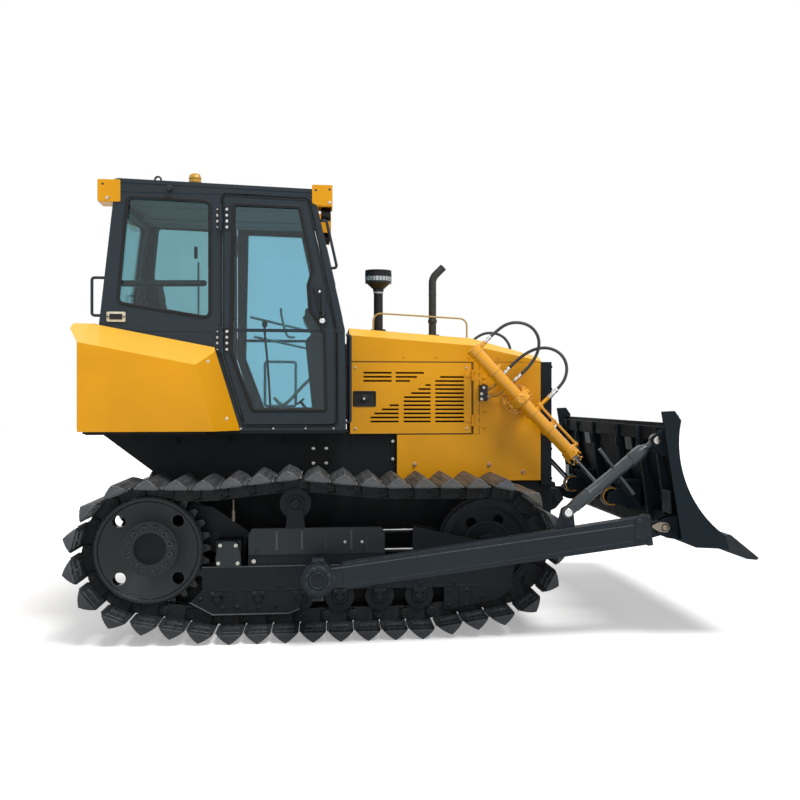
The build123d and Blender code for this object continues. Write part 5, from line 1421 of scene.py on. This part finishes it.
class DOZER_OT_engine_house(bpy.types.Operator):
    """Bolts, seams, ducts and latches of the engine house, and trim of its two stacks"""

    bl_idname = "dozer.engine_house"
    bl_label = "Engine house"

    def execute(self, context):
        face = -HOOD_FACE
        size = context.scene.dozer_sizes.bolt / MM
        trim = Maker()
        place_bolts(trim, [(1281, 1828), (1285, 1608), (1285, 1478), (1281, 1870)], face, size)
        brown = Maker()
        place_bolts(brown, [(727, 1184), (1322, 1178), (1596, 1118)], face, size * 1.1)
        brown.mirror().done("lower_panel_bolts", "machine", ["rusty_bolt"], slot="bright_steel")
        strip = [(1198, 1421), (1240, 1421), (1240, 1990), (1198, 1990)]
        trim.slab(eased(strip, 10, 3), face - 3, face + 4)
        top_row = [(640, 2034), (900, 2034), (1160, 2034), (1400, 2034), (1650, 1989)]
        place_bolts(trim, top_row, face, 8, washer=False)
        trim.mirror().done(
            "engine_house_trim", "machine", ["yellow_paint"], bevel=0.8, slot="yellow_paint")

        # Ducts and rocker covers over the engine, seen through the louvres.
        ducts = Maker()
        cover = [(250, 1700), (1130, 1700), (1130, 1930), (900, 1985), (250, 1985)]
        ducts.slab(eased(cover, 40, 5), -150, 150)
        for x in (360, 520, 680, 840, 1000):
            for side in (RIGHT, LEFT):
                ducts.tube(smooth_line([
                    (x, side * 150, 1900), (x, side * 260, 1900), (x + 20, side * 330, 1840),
                    (x + 20, side * 340, 1700),
                ]), 26, 14)
        ducts.done("engine_ducts", "machine", ["black_plastic"], slot="black_plastic")

        seams = Maker()
        for x in (1194, 1242):
            seams.block((x - 1.5, x + 1.5), (face - 1.2, face + 4), (1423, 1988))
        seams.block((1740, 1744), (face - 1.2, face + 4), (1052, 2000))
        seams.mirror().done("panel_seams", "machine", ["seal_rubber"], slot="black_plastic")

        # Dark edging, latch pocket and lock on each engine door.
        for side, where in SIDES:
            latch = Maker()
            pocket = eased([(246, 1644), (419, 1644), (419, 1760), (246, 1760)], 10, 3)
            latch.seal(in_wall(pocket, face), OUT, 9, 4)
            latch.block((250, 415), (face + 7, face + 12), (1648, 1756))
            latch.spin([(0, 30), (8, 30), (11, 26), (11, 10)], (329, face + 8, 1703), OUT, 32)
            grip = [(286, 1690), (372, 1690), (372, 1716), (286, 1716)]
            latch.slab(eased(grip, 10, 3), face - 2, face + 3)
            edge = eased([(219, 1427), (1182, 1427), (1182, 1992), (219, 1992)], 14, 4)
            latch.seal(in_wall(edge, face + 1), OUT, 5, 2)
            latch.on(side).done(f"engine_latch_{where}", f"engine_door_{where}",
                                ["black_plastic"], bevel=0.8, slot="black_plastic")
            lock = Maker()
            lock.spin([(0, 9), (4, 9), (5, 7)], (329, face - 4, 1703), OUT, 20)
            for x, z in ((262, 1950), (262, 1470), (1140, 1950), (1140, 1470)):
                lock.socket((x, face, z), OUT, 8)
            lock.on(side).done(f"engine_door_screws_{where}", f"engine_door_{where}",
                               ["zinc"], slot="bright_steel")

        # Two plates on the hull's side, each bolted, and a row of larger bolts behind them.
        side_plate = -HULL_FACE - 5
        pale = Maker()
        place_bolts(pale, [
            (-64, 1313), (36, 1313), (-64, 1196), (36, 1196), (559, 1365), (559, 1224),
        ], side_plate, 9)
        pale.mirror().done("hull_bolts", "machine", ["zinc"], slot="bright_steel")
        hull = Maker()
        place_bolts(hull, [(-300, 1380), (-700, 1380), (-1100, 1380)], -HULL_FACE, 13)
        for (x0, x1), (z0, z1) in (((-90, 60), (1160, 1350)), ((543, 575), (1190, 1400))):
            hull.block((x0, x1), (side_plate, side_plate + 9), (z0, z1))
        hull.mirror()
        # Nose: bolts along both sides of the guard and upright rods behind its bars.
        for y in (-494, 494):
            for z in (1060, 1300, 1540, 1780, 1960):
                hull.bolt((1831, y, z), (1, 0, 0), 10)
        for k in range(19):
            y = -450 + 50 * k
            hull.tube([(1778, y, 1130), (1778, y, 1936)], 3, 6)
        hull.done("hull_and_nose_bolts", "machine", ["chassis_paint"], slot="chassis_paint")

        # Cap, screen and bands of the pre-cleaner, and the exhaust's clamp and rim.
        stacks = Maker()
        for z in (2642, 2738):
            stacks.washer((*PRE_CLEANER, z - 4), UP, 107, 96, 8)
        for x, y in spaced(PRE_CLEANER, 104.5, 24):
            stacks.tube([(x, y, 2652), (x, y, 2728)], 2.4, 6)
        stacks.spin([(0, 104), (4, 96), (6, 60), (6, 20)], (*PRE_CLEANER, 2736), UP, 48)
        stacks.washer((*PRE_CLEANER, 2575), UP, 44, 36, 20)
        stacks.done("pre_cleaner_trim", "machine", ["black_plastic"], slot="black_plastic")
        band = Maker()
        band.washer((*PRE_CLEANER, 2556), UP, 41, 36.5, 14)
        band.spin([(0, 104.6), (34, 104.6)], (*PRE_CLEANER, 2655), UP, 48)
        band.done("pre_cleaner_band", "machine", ["clear_band"], slot="bright_steel")
        clamp = Maker()
        clamp.washer((*EXHAUST, 2330), UP, 37, 30, 26)
        clamp.washer((*EXHAUST, 2560), UP, 33.5, 30.5, 6)
        clamp.bolt((EXHAUST[0], EXHAUST[1] - 37, 2343), OUT, 8)
        clamp.done("exhaust_clamp", "machine", ["exhaust_steel"], bevel=0.6, slot="exhaust_steel")
        return {"FINISHED"}


def hinge_rows(x):
    """Places of the four screws in one leaf of the upper and of the lower door hinge."""
    return [(x, z) for z in (3121, 3077, 3032, 2988, 2206, 2163, 2119, 2072)]


class DOZER_OT_cab_shell(bpy.types.Operator):
    """Window rubbers, hinges, trays and bolts on the cab's fixed walls"""

    bl_idname = "dozer.cab_shell"
    bl_label = "Cab shell"

    def execute(self, context):
        width = context.scene.dozer_sizes.seal / MM
        rubbers = Maker()
        side_line = eased(SIDE_WINDOW, 45, 7)
        rubbers.seal(in_wall(inset(side_line, -3), -CAB_FACE), OUT, width, 7)
        # A seal round each door opening.
        rubbers.seal(in_wall(inset(eased(DOOR_OUTLINE, 40, 6), -9), -CAB_FACE), OUT, 10, 4)
        rubbers.mirror()
        # Front and rear panes, each in a sloping wall given by two of its places.
        for line, low, high, half, normal in (
            (((176, 2226), (-57, 3262)), 2320, 3150, 640, (0.9756, 0, 0.2194)),
            (((-1634, 2200), (-1512, 3306)), 2420, 3150, 560, (-0.994, 0, 0.1096)),
        ):
            (x1, z1), (x2, z2) = line
            flat = eased([(-half, low), (half, low), (half, high), (-half, high)], 40, 6)
            rubbers.seal(
                [(x1 + (x2 - x1) * (z - z1) / (z2 - z1), y, z) for y, z in flat], normal, width, 7)
        rubbers.done("window_rubbers", "machine", ["seal_rubber"], slot="black_plastic")

        trim = Maker()
        for x, z in ((-1560, 3186), (-43, 3283), (-1600, 3290), (60, 3290)):
            trim.bolt((x, -776, z), OUT, 11)
        trim.block((-1630, -60), (-784, -778), (3236, 3244))
        trim.spin([(0, 16), (20, 16), (30, 22), (44, 22), (50, 16)], (-1117, -782, 3264), OUT, 28)
        trim.slab([(-1618, 2205), (-1618, 2230), (170, 2230), (172, 2205)], -783, -778)
        trim.mirror().done("cab_trim", "machine", ["cab_paint"], bevel=0.8, slot="cab_paint")

        tray = Maker()
        rim = [(-1572, 2272), (-1438, 2272), (-1438, 2346), (-1572, 2346)]
        tray.slab(eased(rim, 10, 3), -790, -778)
        tray.finish = 1
        inlay = [(-1552, 2288), (-1458, 2288), (-1458, 2330), (-1552, 2330)]
        tray.slab(eased(inlay, 8, 3), -793, -786)
        for x in (-1563, -1447):
            tray.socket((x, -789, 2309), OUT, 6)
        tray.done("cab_side_plate", "machine", ["cream_plastic", "black_plastic"], bevel=0.8,
                  slot="black_plastic")

        screws = Maker()
        place_bolts(screws, hinge_rows(-772), -CAB_FACE - 2, 7)
        sill = [(-600, 1478), (-360, 1478), (-120, 1478), (90, 1478)]
        place_bolts(screws, sill, -CAB_FACE, 8, washer=False)
        screws.mirror().done("cab_base_bolts", "machine", ["zinc"], slot="bright_steel")
        return {"FINISHED"}


class DOZER_OT_cab_doors(bpy.types.Operator):
    """Rubbers, hinge leaves, locks and handles of both cab doors"""

    bl_idname = "dozer.cab_doors"
    bl_label = "Cab doors"

    def execute(self, context):
        face = -DOOR_FACE
        width = context.scene.dozer_sizes.seal / MM
        window = inset(eased(DOOR_WINDOW, 22, 5), -3)
        for side, where in SIDES:
            rubbers = Maker()
            rubbers.seal(in_wall(window, face), OUT, width, 7)
            rubbers.seal(in_wall(inset(eased(DOOR_OUTLINE, 40, 6), 13), face), OUT, 9, 4)
            rubbers.seal(in_wall(window, face + 45), (0, 1, 0), width, 6)
            fittings = Maker()
            for z in (3055, 2142):
                leaf = [(-722, z - 92), (-680, z - 92), (-680, z + 92), (-722, z + 92)]
                fittings.slab(eased(leaf, 8, 3), face - 5, face + 3)
            # Lock body, with the pull bar above it.
            body = [(-18, 2250), (44, 2250), (36, 2362), (-22, 2362)]
            fittings.slab(eased(body, 14, 4), face - 9, face + 3)
            fittings.washer((11, face - 9, 2287), OUT, 25, 15, 7)
            fittings.tube(smooth_line([
                (-52, face - 2, 2550), (-52, face - 40, 2548), (-48, face - 46, 2500),
                (-24, face - 46, 2400), (-10, face - 40, 2352), (-8, face - 2, 2350),
            ]), 9, 12)
            fittings.bolt((-8, face, 2508), OUT, 9, washer=False)
            lock = Maker()
            lock.spin([(0, 21), (8, 21), (12, 17), (13, 10), (10, 9), (10, 3)],
                      (5, face - 10, 2292), OUT, 32)
            lock.spin([(0, 9), (6, 9), (8, 6)], (-16, face - 9, 2512), OUT, 20)
            place_bolts(lock, hinge_rows(-703), face - 4, 6.5)
            for part, name, finish, slot in (
                (rubbers, "door_rubbers", "seal_rubber", "black_plastic"),
                (fittings, "door_fittings", "black_plastic", "black_plastic"),
                (lock, "door_lock", "polished", "bright_steel"),
            ):
                part.on(side).done(f"{name}_{where}", f"cab_door_{where}", [finish], slot=slot)
        return {"FINISHED"}


class DOZER_OT_cab_inside(bpy.types.Operator):
    """Frame bars, levers, pedal linkage, dash, console tops and lining inside the cab"""

    bl_idname = "dozer.cab_inside"
    bl_label = "Cab inside"

    def execute(self, context):
        # Light steel tubes and the far door's inner frame, behind the panes.
        maker = Maker()
        for a, b in (((-621, 700, 2422), (-30, 700, 2286)), ((-590, 700, 2250), (-92, 700, 2143))):
            maker.tube([a, b], 11, 12)
        maker.tube([(-1060, 640, 2890), (-1060, 640, 2440)], 9, 12)
        frame_line = [(-495, 1640), (-227, 1640), (-227, 2031), (-495, 2031)]
        maker.seal(in_wall(eased(frame_line, 24, 4), 722), OUT, 24, 8)
        lever = [(-343, 2472), (-338, 2400), (-300, 2250), (-269, 2222), (-226, 2226)]
        maker.tube(smooth_line(in_wall(lever, 300)), 10, 12)
        maker.done("cab_inner_bars", "machine", ["inner_steel"], slot="bright_steel")
        dark = Maker()
        rail = [(-1493, 2574), (-900, 2584), (-876, 2585), (-868, 2585)]
        dark.tube(in_wall(rail, -600), [24, 24, 20, 10], 20)
        dark.tube([(-1045, 300, 2980), (-1045, 300, 2880)], 15, 14)
        lever = [(-448, 2289), (-452, 2250), (-420, 1950), (-403, 1623)]
        dark.tube(smooth_line(in_wall(lever, -300)), 9, 12)
        dark.spin([(-30, 12), (-20, 20), (6, 22), (22, 14)], (-448, -300, 2300), UP, 20)
        dark.done("lever_and_rail", "machine", ["black_plastic"], slot="black_plastic")

        linkage = Maker()
        bent = [(-373, 1714), (-320, 1640), (-254, 1684), (-140, 1820), (-59, 1889)]
        linkage.tube(smooth_line(in_wall(bent, -300)), 13, 12)
        linkage.tube([(-59, -300, 1889), (-40, -300, 1960)], 9, 12)
        linkage.done("pedal_linkage", "machine", ["cream_plastic"], slot="bright_steel")

        dash = Maker()
        dash.slab([(20, 2180), (60, 2180), (70, 2320), (-110, 2380), (-150, 2350), (-60, 2200)],
                  -360, 360)
        dash.slab([(-120, 2352), (-60, 2372), (-50, 2450), (-130, 2430)], -200, 200)
        for k in range(5):
            dash.spin([(0, 22), (5, 22), (7, 18)], (-128, -140 + 70 * k, 2402), (-1, 0, 0.1), 20)
        for y in (-380, 380):
            dash.slab(eased([(-1330, 2120), (-800, 2120), (-800, 2170), (-1330, 2200)], 20, 3),
                      y - 85, y + 85)
            for x, lean in ((-900, 40), (-840, 20), (-780, 30)):
                stick = [(x, 2165), (x + lean * 0.2, 2230), (x + lean, 2300)]
                dash.tube(smooth_line(in_wall(stick, y)), 6, 10)
                dash.spin([(-26, 9), (-18, 17), (0, 20), (14, 16), (20, 6)],
                          (x + lean, y, 2310), (0.2, 0, 1), 20)
        dash.done(
            "dash_and_consoles", "machine", ["black_plastic"], bevel=2.0, slot="black_plastic")

        lining = Maker()
        sheet = [(-1560, 3225), (-20, 3205), (-40, 3190), (-1540, 3205)]
        lining.slab(eased(sheet, 6, 2), -700, 700)
        for y in (-640, -300, 300, 640):
            lining.slab([(-1540, 3205), (-60, 3192), (-60, 3180), (-1540, 3193)], y - 30, y + 30)
        lining.done("roof_lining", "machine", ["lining_cloth"], bevel=1.5, slot="seat_fabric")
        return {"FINISHED"}


def inflate(pad, cap, low, high):
    """Swell the pad's mesh by air pressure, no place further than cap metres.

    Places below the height low stay, and from there to high they move more and more freely.
    """
    scene = bpy.context.scene
    start = [vert.co.copy() for vert in pad.data.vertices]
    cloth = pad.modifiers.new("stuffing", "CLOTH")
    cloth.settings.quality = 4
    cloth.settings.use_pressure = True
    cloth.settings.uniform_pressure_force = 4.0
    cloth.settings.effector_weights.gravity = 0.0
    cloth.collision_settings.use_collision = False
    cloth.point_cache.frame_start, cloth.point_cache.frame_end = 1, STUFFING_STEPS
    for step in range(1, STUFFING_STEPS + 1):
        scene.frame_set(step)
    swollen = shaped_mesh(pad)
    places = [vert.co.copy() for vert in swollen.vertices]
    bpy.data.meshes.remove(swollen)
    pad.modifiers.clear()
    scene.frame_set(1)
    for vert, first, last in zip(pad.data.vertices, start, places):
        move = last - first
        free = min(1.0, max(0.0, (first.z - low) / (high - low)))
        vert.co = first + move * min(1.0, cap / max(move.length, 1e-9)) * free


class DOZER_OT_seat(bpy.types.Operator):
    """Stuffed cushion and backrest with sewn channels"""

    bl_idname = "dozer.seat"
    bl_label = "Seat"

    def pad(self, context, name, outline, half, channels, node, low, high):
        """A slab of the outline, half to each side, swollen and then sewn in along its channels.

        Each channel is a place in millimetres and the way across it; low and high are in metres.
        """
        maker = Maker()
        rings = []
        for y in (-half, -half + 14, 0, half - 14, half):
            small = 16 if abs(y) == half else 4
            rings.append(in_wall(inset(eased(outline, 34, 5), small), y * 0.985))
        maker.loft(rings)
        pad = maker.done(name, None, ["seat_fabric"], smooth=180)
        pad.modifiers.new("mesh", "REMESH").voxel_size = context.scene.dozer_sizes.voxel
        shaped = shaped_mesh(pad)
        pad.modifiers.clear()
        pad.data = shaped
        inflate(pad, 0.012, low, high)
        sewn = [(at(*along), Vector(way)) for along, way in channels]
        moved = []
        for vert in shaped.vertices:
            depth = sum(math.exp(-((vert.co - along).dot(way) / SEAM_WIDTH) ** 2)
                        for along, way in sewn)
            moved.append(vert.co - vert.normal * SEAM_DEPTH * depth)
        for vert, place in zip(shaped.vertices, moved):
            vert.co = place
        pad.modifiers.new("fine", "SUBSURF").levels = 1
        for face in shaped.polygons:
            face.use_smooth = True
        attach(pad, "machine")
        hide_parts(node)

    def execute(self, context):
        cushion = [(-1330, 1916), (-820, 1916), (-820, 2040), (-1330, 2040)]
        self.pad(context, "seat_pad", cushion, 255,
                 [((0, y, 0), (0, 1, 0)) for y in (-150, 150)]
                 + [((x, 0, 0), (1, 0, 0)) for x in (-1190, -1080, -970)],
                 "seat_cushion", 1.925, 1.96)
        back = [(-1330, 2046), (-1204, 2046), (-1312, 2682), (-1408, 2682)]
        lean = Vector((-0.168, 0, 0.986))
        steps = [Vector((-1265, 0, 2046)) + lean * d for d in (110, 220, 330, 440, 550)]
        self.pad(context, "backrest_pad", back, 245,
                 [(tuple(place), tuple(lean)) for place in steps], "seat_back", 2.05, 2.07)
        return {"FINISHED"}


class DOZER_OT_roof(bpy.types.Operator):
    """Beacon, lamp rims and lenses, guard plates with their screws, and the roof's ribs"""

    bl_idname = "dozer.roof"
    bl_label = "Roof"

    def execute(self, context):
        low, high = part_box("beacon")
        x, y = (low.x + high.x) / 2 / MM + MIDDLE_X, (low.y + high.y) / 2 / MM
        base = low.z / MM
        dome = Maker()
        dome.spin([
            (24, 45), (30, 47.5), (40, 47.5), (43, 45.5), (52, 45.5), (55, 47.5), (68, 47),
            (71, 44.5), (80, 43), (90, 37), (97, 27), (100.5, 14), (101, 3),
        ], (x, y, base), UP, 48)
        dome.finish = 1
        dome.spin([(0, 57), (16, 57), (22, 53), (24, 47), (24, 20)], (x, y, base), UP, 40)
        dome.done("beacon_lens", "machine", ["amber_plastic", "black_plastic"],
                  slot="amber_plastic", replaces=("beacon",))

        lamps, lens = Maker(), Maker()
        x, aside, z = WORK_LAMP
        for y in (-aside, aside):
            lamps.washer((x, y, z), (1, 0, 0), 50, 41, 8)
            lens.spin([(0, 42), (3, 41), (6, 30), (8, 10)], (x, y, z), (1, 0, 0), 36)
            lamps.block((12, 44), (y - 14, y + 14), (z + 42, z + 54))
            for k in range(7):
                lamps.washer((-2 + 5.5 * k, y, z), (1, 0, 0), 52.5, 48, 2.2)
        lamps.done("lamp_rims", "machine", ["lamp_plastic"], slot="lamp_plastic")
        lens.done("lamp_lenses", "machine", ["lamp_lens"], slot="lamp_plastic")

        # Side plates that lap from the lamp guards over the cab's corners.
        plates = Maker()
        rear_corner = [(-1638, 3161), (-1474, 3161), (-1474, 3325), (-1638, 3325)]
        front_corner = [(-72, 3186), (-40, 3170), (80, 3162), (80, 3325), (-72, 3325)]
        plates.slab(eased(rear_corner, 12, 4), -788, -772)
        plates.slab(eased(front_corner, 10, 4), -788, -772)
        plates.mirror().done(
            "guard_plates", "machine", ["yellow_paint"], bevel=2.0, slot="yellow_paint")
        bolts = Maker()
        place_bolts(bolts, [(-1568, 3188), (60, 3190)], -788, 8)
        bolts.mirror().done("guard_screws", "machine", ["zinc"], slot="bright_steel")

        roof = Maker()
        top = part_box("cab_roof")[1].z / MM
        for y in (-420, -140, 140, 420):
            roof.tube([(-1440, y, top - 12), (-200, y, top - 46)], 5, 10)
        roof.done("roof_ribs", "machine", ["cab_paint"], slot="cab_paint")
        return {"FINISHED"}


class DOZER_OT_rear(bpy.types.Operator):
    """Bolts on the fenders and the tank's filler cap"""

    bl_idname = "dozer.rear"
    bl_label = "Fenders and tank"

    def execute(self, context):
        trim = Maker()
        for place in ((-813, -1081, 1972), (-683, -1040, 1557)):
            trim.bolt(place, (0.12, -0.99, 0.1), 7)
        trim.mirror().done("fender_bolts", "machine", ["zinc"], slot="bright_steel")

        cap = Maker()
        x, y, z = -1726, 400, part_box("fuel_tank")[1].z / MM
        cap.spin([(-6, 60), (2, 60), (4, 54), (-1, 50), (-1, 20)], (x, y, z), UP, 40)
        for rib_x, rib_y in spaced((x, y), 56, 16):
            cap.block((rib_x - 4, rib_x + 4), (rib_y - 4, rib_y + 4), (z - 16, z))
        cap.done("filler_cap", "machine", ["black_plastic"], bevel=0.8, slot="black_plastic")
        return {"FINISHED"}


# ================================================================ panel and registration
STEPS = (
    DOZER_OT_studio, DOZER_OT_hoses, DOZER_OT_finishes, DOZER_OT_shoes, DOZER_OT_links,
    DOZER_OT_wheels, DOZER_OT_track_frames, DOZER_OT_arms, DOZER_OT_blade, DOZER_OT_lift,
    DOZER_OT_engine_house, DOZER_OT_cab_shell, DOZER_OT_cab_doors, DOZER_OT_cab_inside,
    DOZER_OT_seat, DOZER_OT_roof, DOZER_OT_rear,
)
GROUPS = {"dozer_colours": DozerColours, "dozer_sizes": DozerSizes, "dozer_studio": DozerStudio}


class VIEW3D_PT_dozer(bpy.types.Panel):
    bl_idname = "VIEW3D_PT_dozer"
    bl_label = "Crawler dozer"
    bl_space_type = "VIEW_3D"
    bl_region_type = "UI"
    bl_category = "Dozer"

    def draw(self, context):
        for step in STEPS:
            self.layout.operator(step.bl_idname)
        for group, kind in GROUPS.items():
            box = self.layout.box()
            for key in kind.__annotations__:
                box.prop(getattr(context.scene, group), key)


def register():
    for kind in (*GROUPS.values(), *STEPS, VIEW3D_PT_dozer):
        bpy.utils.register_class(kind)
    for name, kind in GROUPS.items():
        setattr(bpy.types.Scene, name, PointerProperty(type=kind))


def unregister():
    for name in GROUPS:
        delattr(bpy.types.Scene, name)
    for kind in (VIEW3D_PT_dozer, *reversed(STEPS), *reversed(GROUPS.values())):
        bpy.utils.unregister_class(kind)


def main():
    """Make every piece in order."""
    register()
    for step in STEPS:
        group, _, name = step.bl_idname.partition(".")
        getattr(getattr(bpy.ops, group), name)()


if __name__ == "__main__":
    main()
